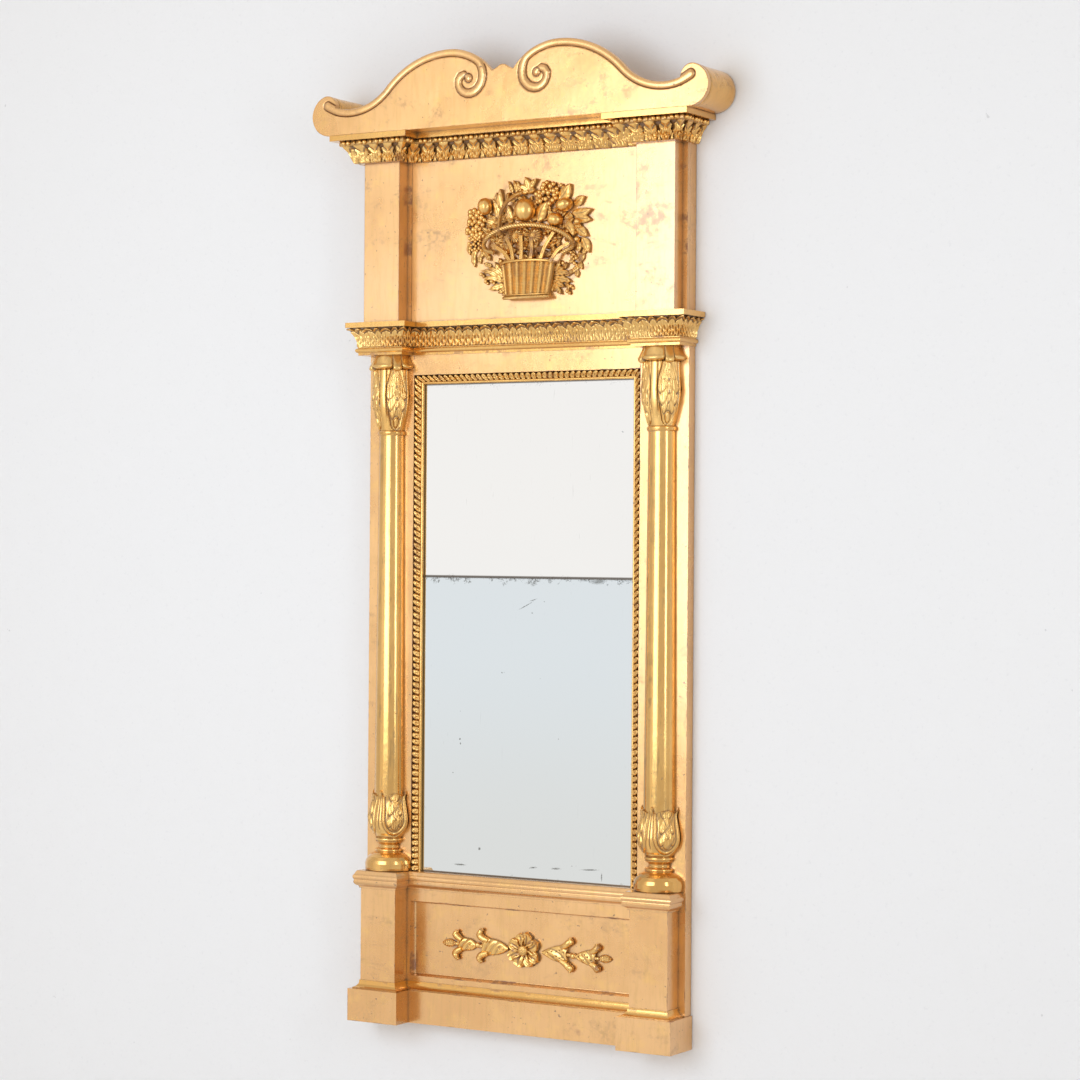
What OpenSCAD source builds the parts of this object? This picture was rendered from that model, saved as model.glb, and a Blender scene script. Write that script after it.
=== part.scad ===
// Pier mirror with half columns, a raised attic panel and a scrolled crest.
// Millimetres. X runs to the right, Z up, and the front faces -Y.
// The origin is on the back plane, at the middle of the foot of the plinth.

/* [Storeys] */
// Height of the plinth under the pedestals
plinth_h = 55; // [40:1:75]
// Height from the plinth to the top of the pedestal caps
pedestal_h = 202.5; // [185:0.5:250]
// Height of the columns with their bases and capitals
column_h = 887; // [760:1:1100]
// Height of the entablature that the columns carry
entablature_h = 56; // [48:0.5:70]
// Height of the attic storey
attic_h = 274; // [235:1:340]
// Height of the cornice under the crest
cornice_h = 46; // [41:0.5:56]
// Height of the crest above the cornice
crest_h = 129.5; // [124:0.5:135]

/* [Frame] */
// Width across the two stiles
frame_w = 626; // [600:1:760]
// Width of one stile
stile_w = 90.4; // [88:0.2:100]
// Thickness of the stiles and rails
frame_t = 21; // [20:0.5:26]
// Depth of the rebate behind the glass and the apron panel
rebate_d = 9; // [8:0.5:10]
// Width of that rebate
rebate_w = 8.4; // [6:0.2:12]
// Height of the rail under the crest
top_rail_h = 72; // [50:1:90]
// Height of the rail above the glass
frieze_rail_h = 125; // [110:1:150]
// Height of the plain strip between the glass and the entablature
frieze_h = 34; // [28:0.5:50]
// Height of the rail behind the ledge
sill_rail_h = 51; // [46:1:60]
// Height of the bottom rail above the plinth
base_rail_h = 23.5; // [20:0.5:30]
// Thickness of the tenons
tenon_t = 7; // [5:0.5:8]
// Length of the tenons
tenon_l = 34; // [15:1:45]
// Shoulder left above and below a tenon
tenon_shoulder = 6; // [4:0.5:8]
// Clearance around a tenon and at its end
tenon_gap = 0.15; // [0.1:0.05:0.3]
// Gap left where two lengths of moulding meet
mitre_gap = 0.1; // [0.05:0.05:0.3]

/* [Pedestals] */
// Distance from the stile's outer edge to the pedestal
pedestal_inset = 12.5; // [11.5:0.5:16]
// Distance from the stile's inner edge to the pedestal
pedestal_reveal = 7.2; // [5:0.1:9]
// How far the pedestal stands in front of the stile
pedestal_d = 37; // [30:0.5:50]
// How far the plinth stands out at the sides of a pedestal
plinth_side_over = 15.2; // [14:0.1:18]
// How far the plinth stands out in front of a pedestal
plinth_front_over = 17; // [12:0.5:20]
// Thickness of the plinth board between the two blocks
plinth_board_t = 17; // [13:0.5:22]
// Height of the base moulding
base_moulding_h = 14; // [11:0.5:17]
// Height of the cap moulding
cap_h = 30; // [27:0.5:36]

/* [Glass] */
// Width of the carved moulding around the glass
sight_w = 15.7; // [13:0.1:18]
// Height of the lower plate above the sill
lower_glass_h = 507.3; // [420:0.1:600]
// Thickness of the mirror plates
glass_t = 3; // [2.5:0.1:3.5]
// Space between a plate's edge and the rebate
glass_gap = 1.5; // [1:0.1:2.5]
// How far the plates reach behind the sill
glass_lap = 7.5; // [5:0.5:9]
// Thickness of the boards behind the glass
backboard_t = 3.6; // [2.8:0.1:3.8]
// Number of boards behind the glass
backboard_n = 5; // [3:1:7]
// Gap between two boards
backboard_gap = 0.6; // [0.3:0.1:0.9]

/* [Columns] */
// Distance from the stile's middle inwards to the column's axis
column_shift = 2.2; // [0:0.1:2.4]
// Radius of the shaft at its foot
shaft_r_foot = 28; // [24:0.5:30]
// Radius of the shaft at its top
shaft_r_top = 24; // [20:0.5:26]
// Height of the turned base
base_h = 50.5; // [44:0.5:60]
// Radius of the turned base
base_r = 44; // [40:0.5:46]
// Height of the lotus cup
cup_h = 89; // [75:1:105]
// Largest radius of the lotus cup
cup_r = 37.4; // [34:0.1:42]
// Depth of the socket that takes the shaft
socket_d = 12; // [8:1:16]
// Clearance of the shaft in its socket
socket_gap = 0.2; // [0.1:0.1:0.4]
// Height of the collar ring
collar_h = 8; // [6:0.5:10]
// Height of the leaf capital
capital_h = 130; // [110:1:150]
// Radius of the capital across its leaf tips
capital_r = 42.5; // [40:0.5:45]

/* [Entablature and attic] */
// How far the entablature's blocks stand in front of the stile
block_d = 35; // [28:0.5:44]
// Distance from the stile's inner edge to a block
block_reveal = 3.4; // [2:0.1:6]
// Height of the astragal
astragal_h = 13.5; // [11:0.5:16]
// Thickness of the entablature's top fillet
ent_fillet_h = 9; // [6:0.5:11]
// How far that fillet stands out
ent_fillet_over = 18; // [16:0.5:22]
// Thickness of the attic board
attic_board_t = 7.3; // [5:0.1:12]
// Distance from the stile's outer edge to the pilaster
pilaster_inset = 8.9; // [6:0.1:14]
// Distance from the stile's inner edge to the pilaster
pilaster_reveal = 9.6; // [9:0.1:16]
// How far the pilaster stands in front of the attic board
pilaster_d = 28.2; // [20:0.1:32]
// Width of the flat beads beside the pilasters
side_fillet_w = 8; // [5:0.5:8.5]
// Thickness of those beads
side_fillet_t = 1.6; // [1:0.2:3]

/* [Cornice and crest] */
// How far the cornice blocks stand in front of the beam
cornice_block_d = 36.5; // [30:0.5:44]
// Thickness of the beam in front of the stile
cornice_beam_d = 8.5; // [8:0.5:14]
// Thickness of the cornice's top board
cornice_fillet_h = 9.5; // [7:0.5:11]
// How far that board stands out
cornice_fillet_over = 34.8; // [31:0.1:38]
// Height of the pearl row
pearl_h = 7.5; // [6:0.5:9]
// Thickness of the crest's front board
crest_board_t = 12; // [9:0.5:16]
// Thickness of the board on which the crest is built
crest_base_t = 14; // [10:0.5:20]
// How far the crest stands in front of the cornice's top board
crest_over = 1.5; // [0:0.5:3]
// Radius of the rolls at the crest's ends
roll_r = 35; // [33:0.5:38]
// Radius of the small curl on top of a roll
curl_r = 19.5; // [17:0.5:21]
// Distance from the frame's edge out to a roll's axis
roll_out = 37.3; // [30:0.1:45]
// Distance from the middle to the top of a swell
swell_x = 107; // [100:1:115]
// Radius of the swell's outer flank
swell_r_outer = 172; // [160:1:185]
// Radius of the swell's inner flank
swell_r_inner = 110; // [100:1:120]
// Distance from the frame's edge in to the lowest point of the slope
dip_in = 6; // [3:0.5:11]
// Height of that point above the crest's foot
dip_h = 43.5; // [40:0.5:46]
// Half the width of the notch at the middle
notch_x = 20.5; // [14:0.5:26]

/* [Ornament] */
// Radius of the rosette on the apron
rosette_r = 32; // [26:0.5:36]
// Distance from the rosette's middle to a garland's end
garland_l = 168; // [150:1:180]
// Greatest thickness of the fruit basket relief
basket_t = 27; // [20:1:34]

/* [Hangers] */
// Distance from the rail under the crest down to the hanger's recess
hanger_down = 2; // [1:0.5:60]
// Radius of the ring's wire
ring_wire_r = 1.5; // [1.2:0.1:1.8]
// Radius of the ring to the middle of its wire
ring_r = 11; // [9:0.5:12]
// Thickness of the iron plate
plate_t = 2; // [1.5:0.1:2.2]
// Width of the iron plate
plate_w = 24; // [20:1:30]
// Height of the iron plate
plate_h = 52; // [46:1:60]
// Radius of the screw holes in the plate
screw_r = 1.6; // [1.4:0.1:2]
// Radius of the staple's wire
eye_wire_r = 1.1; // [1:0.05:1.3]
// Length of the staple's legs in the stile
staple_l = 7; // [4:0.5:8]
// Clearance of the ring in the staple
ring_gap = 0.6; // [0.4:0.1:0.6]
// Clearance of the staple's legs in the plate
staple_gap = 0.1; // [0.05:0.05:0.2]

/* [Hidden] */

// Levels of the storeys
z_plinth = plinth_h;
z_sill = z_plinth + pedestal_h;
z_entablature = z_sill + column_h;
z_attic = z_entablature + entablature_h;
z_cornice = z_attic + attic_h;
z_crest = z_cornice + cornice_h;
z_top = z_crest + crest_h;

// The frame's planes
half_w = frame_w / 2;
y_frame = -frame_t;
y_rebate = -rebate_d;
opening_x = half_w - stile_w;
rebate_x = opening_x + rebate_w;
z_apron_foot = z_plinth + base_rail_h;
z_apron_head = z_sill - sill_rail_h;
z_glass_head = z_entablature - frieze_h;
z_frieze_top = z_glass_head + frieze_rail_h;
z_top_rail = z_cornice - top_rail_h;
tenon_y = y_rebate - tenon_t;
stub_w = 40;
stub_l = 22;
stub_inset = 25;

// Pedestals and plinth
ped_x1 = half_w - pedestal_inset;
ped_x0 = opening_x + pedestal_reveal;
y_ped = y_frame - pedestal_d;
plinth_x0 = ped_x0 - plinth_side_over;
plinth_x1 = ped_x1 + plinth_side_over;
y_plinth = y_ped - plinth_front_over;
z_cap = z_sill - cap_h;
panel_t = 5;
lip_w = 4;

// Glass and backboards
glass_x = rebate_x - glass_gap;
z_sight_top = z_glass_head;
sight_in = opening_x - sight_w;
z_glass_foot = z_sill - glass_lap;
z_glass_top = z_glass_head + rebate_w - glass_gap;
z_glass_joint = z_sill + lower_glass_h;
y_glass_back = y_rebate + glass_t;
y_board_back = y_glass_back + backboard_t;
sprig_r = 0.6;
sprig_l = 16;
sprig_in = 8;
sprig_n = 5;
sprig_y = y_board_back + sprig_r + 0.2;

// Columns
column_x = half_w - stile_w / 2 - column_shift;
z_cup = z_sill + base_h;
z_socket = z_cup + cup_h - socket_d;
z_capital = z_entablature - capital_h;
z_collar = z_capital - collar_h;
capital_top_r = 33.5;

// Entablature and attic
block_inner = opening_x + block_reveal;
y_block = y_frame - block_d;
z_band = z_entablature + astragal_h;
z_ent_fillet = z_attic - ent_fillet_h;
ent_band_h = z_ent_fillet - z_band;
y_attic = y_frame - attic_board_t;
pil_x1 = half_w - pilaster_inset;
pil_x0 = opening_x + pilaster_reveal;
y_pilaster = y_attic - pilaster_d;

// Cornice and crest
y_beam = y_frame - cornice_beam_d;
y_cornice_block = y_beam - cornice_block_d;
z_cornice_fillet = z_crest - cornice_fillet_h;
z_pearl = z_cornice_fillet - pearl_h;
cornice_band_h = z_pearl - z_cornice;
y_crest = y_cornice_block - cornice_fillet_over - crest_over;
y_crest_back = y_crest + crest_board_t;
curl_angle = 72;
curl_end = 185;
roll_x = half_w + roll_out;
dip_x = half_w - dip_in;
roll_z = z_crest + roll_r;
curl_x = roll_x + (roll_r - curl_r) * cos(curl_angle);
curl_z = roll_z + (roll_r - curl_r) * sin(curl_angle);
roll_inner_x = curl_x + curl_r * cos(curl_end);
swell_z = z_top - swell_r_outer;
dip_up = z_crest + dip_h - swell_z;
dip_run = dip_x - swell_x;
dip_r = (dip_run * dip_run + dip_up * dip_up - swell_r_outer * swell_r_outer)
    / (2 * (swell_r_outer - dip_up));
dip_z = z_crest + dip_h + dip_r;
flank_angle = atan2(dip_up + dip_r, dip_run);
inner_z = z_top - swell_r_inner;
notch_angle = 180 - acos((swell_x - notch_x) / swell_r_inner);
notch_z = inner_z + swell_r_inner * sin(notch_angle);
peak_rise = 9;

// Ornament
rosette_drop = 4.5;
rosette_z = (z_apron_foot + z_apron_head) / 2 - rosette_drop;
basket_z = z_attic + attic_h / 2;
basket_x = 8;

// Hangers
hanger_x = column_x;
recess_d = 11;
recess_w = plate_w + 10;
recess_h = plate_h + 10;
hanger_z = z_top_rail - hanger_down - recess_h / 2;
eye_r = ring_wire_r + eye_wire_r + ring_gap;
back_gap = 0.8;
ring_y = -back_gap - eye_wire_r - eye_r;
screw_l = 7;
screw_head_r = 3;
screw_head_h = 1.4;
screw_up = plate_h / 2 - 6;
eps = 0.01;

function arc(cx, cy, r, a0, a1, n) =
    [for (i = [0:n]) [cx + r * cos(a0 + (a1 - a0) * i / n), cy + r * sin(a0 + (a1 - a0) * i / n)]];
function flip(points) = [for (i = [len(points) - 1:-1:0]) [-points[i][0], points[i][1]]];

// A box given by its two ends along each axis
module slab(x, y, z) {
    translate([x[0], y[0], z[0]])
        cube([x[1] - x[0], y[1] - y[0], z[1] - z[0]]);
}

// What is drawn for the right side goes to the left one too
module left() { mirror([1, 0, 0]) children(); }
module both() {
    children();
    mirror([1, 0, 0]) children();
}

// A drawing in X and Z, made solid from y_front back to y_back
module standing(y_front, y_back) {
    translate([0, y_back, 0])
        rotate([90, 0, 0])
            linear_extrude(y_back - y_front) children();
}

// A block whose front and two sides carry a moulding, given as [projection, height]
module moulded_block(x, y, z0, profile) {
    widest = max([for (p = profile) p[0]]);
    intersection() {
        standing(y[0] - widest, y[1])
            polygon(concat(
                [for (p = profile) [x[1] + p[0], z0 + p[1]]],
                [for (i = [len(profile) - 1:-1:0]) [x[0] - profile[i][0], z0 + profile[i][1]]]
            ));
        translate([x[0] - widest, 0, 0])
            rotate([90, 0, 90])
                linear_extrude(x[1] - x[0] + 2 * widest)
                    polygon(concat(
                        [for (p = profile) [y[0] - p[0], z0 + p[1]]],
                        [[y[1], z0 + profile[len(profile) - 1][1]], [y[1], z0 + profile[0][1]]]
                    ));
    }
}

// One length of moulding around a block at the right, cut back to the block and to what stands behind
module corner_run(x, y_front, y_behind, z0, h, profile) {
    difference() {
        moulded_block(x, [y_front, 0], z0, profile);
        slab([x[0], x[1]], [y_front, y_behind + eps], [z0 - 1, z0 + h + 1]);
        slab([0, half_w], [y_behind, 1], [z0 - 1, z0 + h + 1]);
    }
}

// The straight length between the two corner runs, scribed to them
module middle_run(x, y_front, y_behind, z0, h, profile) {
    gap = mitre_gap;
    difference() {
        moulded_block([-x[0], x[0]], [y_behind, y_behind + eps], z0, profile);
        slab([-half_w, half_w], [y_behind, 1], [z0 - 1, z0 + h + 1]);
        both() moulded_block([x[0] - gap, x[1] + gap], [y_front - gap, 0], z0, profile);
    }
}

// Half of a turned piece, flat on the stile's front
module half_turned(z0, points) {
    difference() {
        translate([column_x, y_frame, z0])
            rotate_extrude($fn = 72) polygon(points);
        slab([0, 2 * half_w], [y_frame, 100], [z0 - 1, z_top]);
    }
}

// Profiles, each from its foot up as [projection, height]
base_profile = concat([[10, 0], [10, 1.5]], arc(12, 12, 10.5, -100, -175, 6), [[1.5, base_moulding_h]]);
cap_profile = concat(
    [[2.4, 0], [2.4, 2]],
    arc(1.5, 12, 8.5, -75, -10, 5),
    [[9.2, cap_h - 18], [9.2, cap_h - 16.5]],
    arc(4.5, cap_h - 11, 6.3, -45, 50, 6),
    [[6, cap_h - 1.2], [4.8, cap_h]]
);
astragal_profile = concat([[1.5, 0], [1.5, 4]], arc(1.6, astragal_h - 5, 4, -85, 85, 8), [[2, astragal_h]]);
ent_band_profile = [
    [2, 0], [2.2, 6], [3.2, 12], [6, 19], [10, 25], [13.5, 29], [15.8, ent_band_h - 1.5], [15.8, ent_band_h]
];
cornice_band_profile = [
    [2.5, 0], [4.2, 1.5], [4.8, 4], [6.8, 10], [10, 18.5], [13.8, 23.5], [17, cornice_band_h]
];
pearl_profile = [[19.5, 0], [26, 0], [28.5, 2.2], [28.5, 4], [26, pearl_h]];

// ---------- carcass ----------

module tenon(z, grow) {
    slab(
        [opening_x - 1, opening_x + tenon_l + grow],
        [tenon_y - grow, y_rebate + grow],
        [z[0] + tenon_shoulder - grow, z[1] - tenon_shoulder + grow]
    );
}

module stub_tenon(grow) {
    slab(
        [half_w - stub_inset - stub_w - grow, half_w - stub_inset + grow],
        [tenon_y - grow, y_rebate + grow],
        [z_plinth - stub_l - grow, z_plinth + 1]
    );
}

base_z = [z_plinth, z_apron_foot];
sill_z = [z_apron_head, z_sill];
frieze_z = [z_glass_head, z_frieze_top];
top_z = [z_top_rail, z_cornice];

module stile() {
    difference() {
        union() {
            slab([opening_x, half_w], [y_frame, 0], [z_plinth, z_cornice]);
            stub_tenon(0);
        }
        slab([opening_x - 1, rebate_x], [y_rebate, 1], [z_plinth - stub_l - 1, z_cornice + 1]);
        for (z = [base_z, sill_z, frieze_z, top_z])
            tenon(z, tenon_gap);
        sprig_holes();
        hanger_recess();
    }
}

module rail(z) {
    slab([-opening_x, opening_x], [y_frame, y_rebate], z);
    slab([-rebate_x, rebate_x], [y_rebate, 0], z);
    both() tenon(z, 0);
}

// The groove that holds the apron panel's upper or lower edge
module panel_groove(z) { slab([-rebate_x - 1, rebate_x + 1], [y_rebate, y_rebate + panel_t], z); }

module stile_left() { color("goldenrod") left() stile(); }
module stile_right() { color("goldenrod") stile(); }

module base_rail() {
    color("goldenrod")
        difference() {
            union() {
                rail(base_z);
                slab([-plinth_x0, plinth_x0], [y_frame, 0], [0, z_plinth]);
            }
            panel_groove([z_apron_foot - rebate_w, z_sill]);
        }
}

module sill_rail() {
    color("goldenrod")
        difference() {
            rail(sill_z);
            panel_groove([0, z_apron_head + rebate_w]);
            slab([-rebate_x - 1, rebate_x + 1], [y_rebate, 1], [z_glass_foot, z_sill + 1]);
        }
}

module frieze_rail() {
    color("goldenrod")
        difference() {
            rail(frieze_z);
            slab([-rebate_x - 1, rebate_x + 1], [y_rebate, 1], [z_glass_head - 1, z_glass_head + rebate_w]);
        }
}

module top_rail() { color("goldenrod") rail(top_z); }

// ---------- plinth and pedestals ----------

module plinth() {
    difference() {
        slab([plinth_x0, plinth_x1], [y_plinth, 0], [0, z_plinth]);
        stub_tenon(tenon_gap);
    }
}

module plinth_left() { color("goldenrod") left() plinth(); }
module plinth_right() { color("goldenrod") plinth(); }
module plinth_board() {
    color("goldenrod")
        slab([-plinth_x0, plinth_x0], [y_frame - plinth_board_t, y_frame], [0, z_plinth]);
}

module base_moulding() {
    color("gold") {
        both()
            corner_run([ped_x0, ped_x1], y_ped, y_frame, z_plinth, base_moulding_h, base_profile);
        middle_run([ped_x0, ped_x1], y_ped, y_frame, z_plinth, base_moulding_h, base_profile);
    }
}

module pedestal() { slab([ped_x0, ped_x1], [y_ped, y_frame], [z_plinth, z_sill]); }
module pedestal_left() { color("goldenrod") left() pedestal(); }
module pedestal_right() { color("goldenrod") pedestal(); }

module pedestal_cap() { corner_run([ped_x0, ped_x1], y_ped, y_frame, z_cap, cap_h, cap_profile); }
module pedestal_cap_left() { color("gold") left() pedestal_cap(); }
module pedestal_cap_right() { color("gold") pedestal_cap(); }
module ledge_moulding() {
    color("gold")
        middle_run([ped_x0, ped_x1], y_ped, y_frame, z_cap, cap_h, cap_profile);
}

module apron_panel() {
    color("goldenrod")
        slab(
            [-rebate_x + glass_gap, rebate_x - glass_gap],
            [y_rebate, y_rebate + panel_t],
            [z_apron_foot - rebate_w + glass_gap, z_apron_head + rebate_w - glass_gap]
        );
}

// The hollow inside the lip, narrower towards its back
module lip_hollow() {
    depth = frame_t - rebate_d;
    steps = 6;
    side = [for (i = [0:steps]) [
        lip_w * (1 - cos(90 * i / steps)),
        y_frame + depth * sin(90 * i / steps)
    ]];
    intersection() {
        translate([0, 0, z_apron_foot - 1])
            linear_extrude(z_apron_head - z_apron_foot + 2)
                polygon(concat(
                    [[-opening_x, y_frame - 1], [opening_x, y_frame - 1]],
                    [for (p = side) [opening_x - p[0], p[1]]],
                    [[opening_x - lip_w, 1], [-opening_x + lip_w, 1]],
                    [for (i = [steps:-1:0]) [-opening_x + side[i][0], side[i][1]]]
                ));
        translate([-opening_x - 1, 0, 0])
            rotate([90, 0, 90])
                linear_extrude(2 * opening_x + 2)
                    polygon(concat(
                        [[y_frame - 1, z_apron_head], [y_frame - 1, z_apron_foot]],
                        [for (p = side) [p[1], z_apron_foot + p[0]]],
                        [[1, z_apron_foot + lip_w], [1, z_apron_head - lip_w]],
                        [for (i = [steps:-1:0]) [side[i][1], z_apron_head - side[i][0]]]
                    ));
    }
}

module apron_lip() {
    color("gold")
        difference() {
            slab([-opening_x, opening_x], [y_frame, y_rebate], [z_apron_foot, z_apron_head]);
            lip_hollow();
        }
}

// ---------- ornament on the apron ----------

module rosette() {
    petals = 8;
    petal_t = 6.5;
    color("gold")
        translate([0, y_rebate, rosette_z])
            rotate([90, 0, 0]) {
                linear_extrude(petal_t)
                    union() {
                        circle(r = 0.6 * rosette_r, $fn = 48);
                        for (i = [0:petals - 1])
                            rotate(i * 360 / petals)
                                translate([0.66 * rosette_r, 0]) circle(r = 0.34 * rosette_r, $fn = 24);
                    }
                rotate_extrude($fn = 48)
                    polygon([
                        [0, 0], [13, 0], [13, petal_t + 0.5], [9.5, petal_t + 2],
                        [9, petal_t + 4.5], [6, petal_t + 6.5], [0, petal_t + 7.5]
                    ]);
            }
}

// Two bellflowers, the link beads and the bud of one garland
module garland() {
    start = rosette_r + 2;
    bell_l = 46;
    bell_w = 24;
    link_r = 5;
    first = start + 5;
    second = first + bell_l + 9;
    bud = second + bell_l;
    color("gold")
        translate([0, 0, rosette_z])
            standing(y_rebate - 9, y_rebate)
                union() {
                    for (x = [first, second])
                        polygon([
                            [x - 4, -4], [x + 10, -8],
                            [x + bell_l - 8, -bell_w], [x + bell_l + 2, -bell_w - 2],
                            [x + bell_l - 6, -6], [x + bell_l, 0], [x + bell_l - 6, 6],
                            [x + bell_l + 2, bell_w + 2], [x + bell_l - 8, bell_w], [x + 10, 8], [x - 4, 4]
                        ]);
                    translate([second - 3, 0]) circle(r = link_r, $fn = 24);
                    polygon([
                        [bud - 8, -3], [bud + 6, -7], [garland_l - 6, -6], [garland_l, 0],
                        [garland_l - 6, 6], [bud + 6, 7], [bud - 8, 3]
                    ]);
                }
}

module garland_left() { left() garland(); }
module garland_right() { garland(); }

// ---------- columns ----------

module column_base() {
    half_turned(z_sill, concat(
        [[0, 0], [base_r - 1.5, 0]],
        arc(base_r - 13, 12, 13, -60, 65, 8),
        [[base_r - 10, 27.5], [base_r - 12.5, 30], [27, 31.5], [25, 35.5]],
        arc(25.2, 39.5, 3.6, -80, 80, 6),
        [[22, 43.8], [21.5, 46.5], [23, base_h], [0, base_h]]
    ));
}

module lotus_cup() {
    rim = cup_h - socket_d;
    half_turned(z_cup, [
        [0, 0], [24, 0], [25.8, 1.5], [25.8, 4], [24, 5.5], [27, 11], [33, 20], [36.6, 28],
        [cup_r, 34], [cup_r - 0.8, 46], [cup_r - 3, 60], [cup_r - 5.4, 72], [cup_r - 4.8, 82],
        [cup_r - 3.6, cup_h], [shaft_r_foot + socket_gap, cup_h], [shaft_r_foot + socket_gap, rim], [0, rim]
    ]);
}

module column_shaft() {
    half_turned(z_socket, [
        [0, 0], [shaft_r_foot, 0], [shaft_r_top, z_collar - z_socket], [0, z_collar - z_socket]
    ]);
}

module column_collar() {
    r = shaft_r_top;
    half_turned(z_collar, [
        [0, 0], [r + 1, 0], [r + 2.4, 1.6], [r + 2.8, collar_h / 2],
        [r + 2.4, collar_h - 1.6], [r + 1, collar_h], [0, collar_h]
    ]);
}

module capital() {
    tip_z = capital_h - 22;
    half_turned(z_capital, [
        [0, 0], [22.7, 0], [26.5, 14], [31, 30], [34, 46], [34.8, 60], [33.6, 78], [33.2, tip_z - 10],
        [36, tip_z - 3], [capital_r - 1, tip_z - 1], [capital_r, tip_z + 2],
        [38, capital_h - 12], [35, capital_h - 5], [capital_top_r, capital_h], [0, capital_h]
    ]);
}

module column_base_left() { color("gold") left() column_base(); }
module column_base_right() { color("gold") column_base(); }
module lotus_cup_left() { color("gold") left() lotus_cup(); }
module lotus_cup_right() { color("gold") lotus_cup(); }
module column_shaft_left() { color("gold") left() column_shaft(); }
module column_shaft_right() { color("gold") column_shaft(); }
module column_collars() { color("gold") both() column_collar(); }
module capital_left() { color("gold") left() capital(); }
module capital_right() { color("gold") capital(); }

// ---------- glass and its moulding ----------

// Outline of the sight moulding: x from the opening's edge inwards, y from the rebate forwards
module sight_outline() {
    front = frame_t - rebate_d;
    polygon([
        [0, 0], [0, front - 0.8], [1.6, front], [4.4, front - 0.4], [sight_w - 5, front - 4.6],
        [sight_w - 1.4, front - 8.4], [sight_w, front - 9.4], [sight_w, 0]
    ]);
}

module sight_moulding_right() {
    color("gold")
        intersection() {
            translate([opening_x, y_rebate, z_sill])
                rotate([0, 0, 180])
                    linear_extrude(z_sight_top - z_sill) sight_outline();
            standing(y_frame - 1, y_rebate)
                polygon([
                    [sight_in, z_sill], [opening_x, z_sill],
                    [opening_x, z_sight_top], [sight_in, z_sight_top - sight_w]
                ]);
        }
}

module sight_moulding_left() { left() sight_moulding_right(); }

module sight_moulding_top() {
    color("gold")
        intersection() {
            translate([opening_x, y_rebate, z_sight_top])
                rotate([0, 90, 180])
                    linear_extrude(2 * opening_x) sight_outline();
            standing(y_frame - 1, y_rebate)
                polygon([
                    [-opening_x, z_sight_top], [opening_x, z_sight_top],
                    [sight_in, z_sight_top - sight_w], [-sight_in, z_sight_top - sight_w]
                ]);
        }
}

module plate(z) { slab([-glass_x, glass_x], [y_rebate, y_glass_back], z); }
module upper_glass() { color("lightsteelblue") plate([z_glass_joint, z_glass_top]); }
module lower_glass() { color("slategray") plate([z_glass_foot, z_glass_joint]); }

module backboards() {
    board_h = (z_glass_top - z_glass_foot + backboard_gap) / backboard_n;
    color("burlywood")
        for (i = [0:backboard_n - 1])
            slab(
                [-glass_x, glass_x],
                [y_glass_back, y_board_back],
                [z_glass_foot + i * board_h, z_glass_foot + (i + 1) * board_h - backboard_gap]
            );
}

// Thin round sprigs driven into the stiles, just behind the boards
module sprigs() {
    span = z_glass_top - z_glass_foot;
    for (i = [0:sprig_n - 1])
        translate([rebate_x - sprig_l + sprig_in, sprig_y, z_glass_foot + span * (i + 0.5) / sprig_n])
            rotate([0, 90, 0]) cylinder(h = sprig_l, r = sprig_r, $fn = 16);
}

module sprig_holes() { sprigs(); }
module backboard_sprigs() { color("dimgray") both() sprigs(); }

// ---------- entablature ----------

module entablature_blocks() {
    color("goldenrod")
        both() slab([block_inner, half_w], [y_block, y_frame], [z_entablature, z_ent_fillet]);
}

module entablature_run(z0, h, profile) {
    color("gold") {
        both()
            corner_run([block_inner, half_w], y_block, y_frame, z0, h, profile);
        middle_run([block_inner, half_w], y_block, y_frame, z0, h, profile);
    }
}

module entablature_astragal() { entablature_run(z_entablature, astragal_h, astragal_profile); }
module entablature_leaf_band() { entablature_run(z_band, ent_band_h, ent_band_profile); }

module entablature_fillet() {
    over = ent_fillet_over;
    inner = block_inner - over;
    middle = inner - mitre_gap;
    color("gold")
        difference() {
            union() {
                both()
                    slab([inner, half_w + over], [y_block - over, 0], [z_ent_fillet, z_attic]);
                slab([-middle, middle], [y_frame - over, 0], [z_ent_fillet, z_attic]);
            }
            slab([-half_w, half_w], [y_frame, 1], [z_ent_fillet - 1, z_attic + 1]);
        }
}

// ---------- attic ----------

module attic_board() {
    color("goldenrod") slab([-half_w, half_w], [y_attic, y_frame], [z_attic, z_cornice]);
}

module attic_side_fillets() {
    color("gold")
        both() {
            slab([pil_x0 - side_fillet_w, pil_x0], [y_attic - side_fillet_t, y_attic], [z_attic, z_cornice]);
            slab([pil_x1, half_w], [y_attic - side_fillet_t, y_attic], [z_attic, z_cornice]);
        }
}

module attic_pilaster() { slab([pil_x0, pil_x1], [y_pilaster, y_attic], [z_attic, z_cornice]); }
module attic_pilaster_left() { color("goldenrod") left() attic_pilaster(); }
module attic_pilaster_right() { color("goldenrod") attic_pilaster(); }

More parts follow.
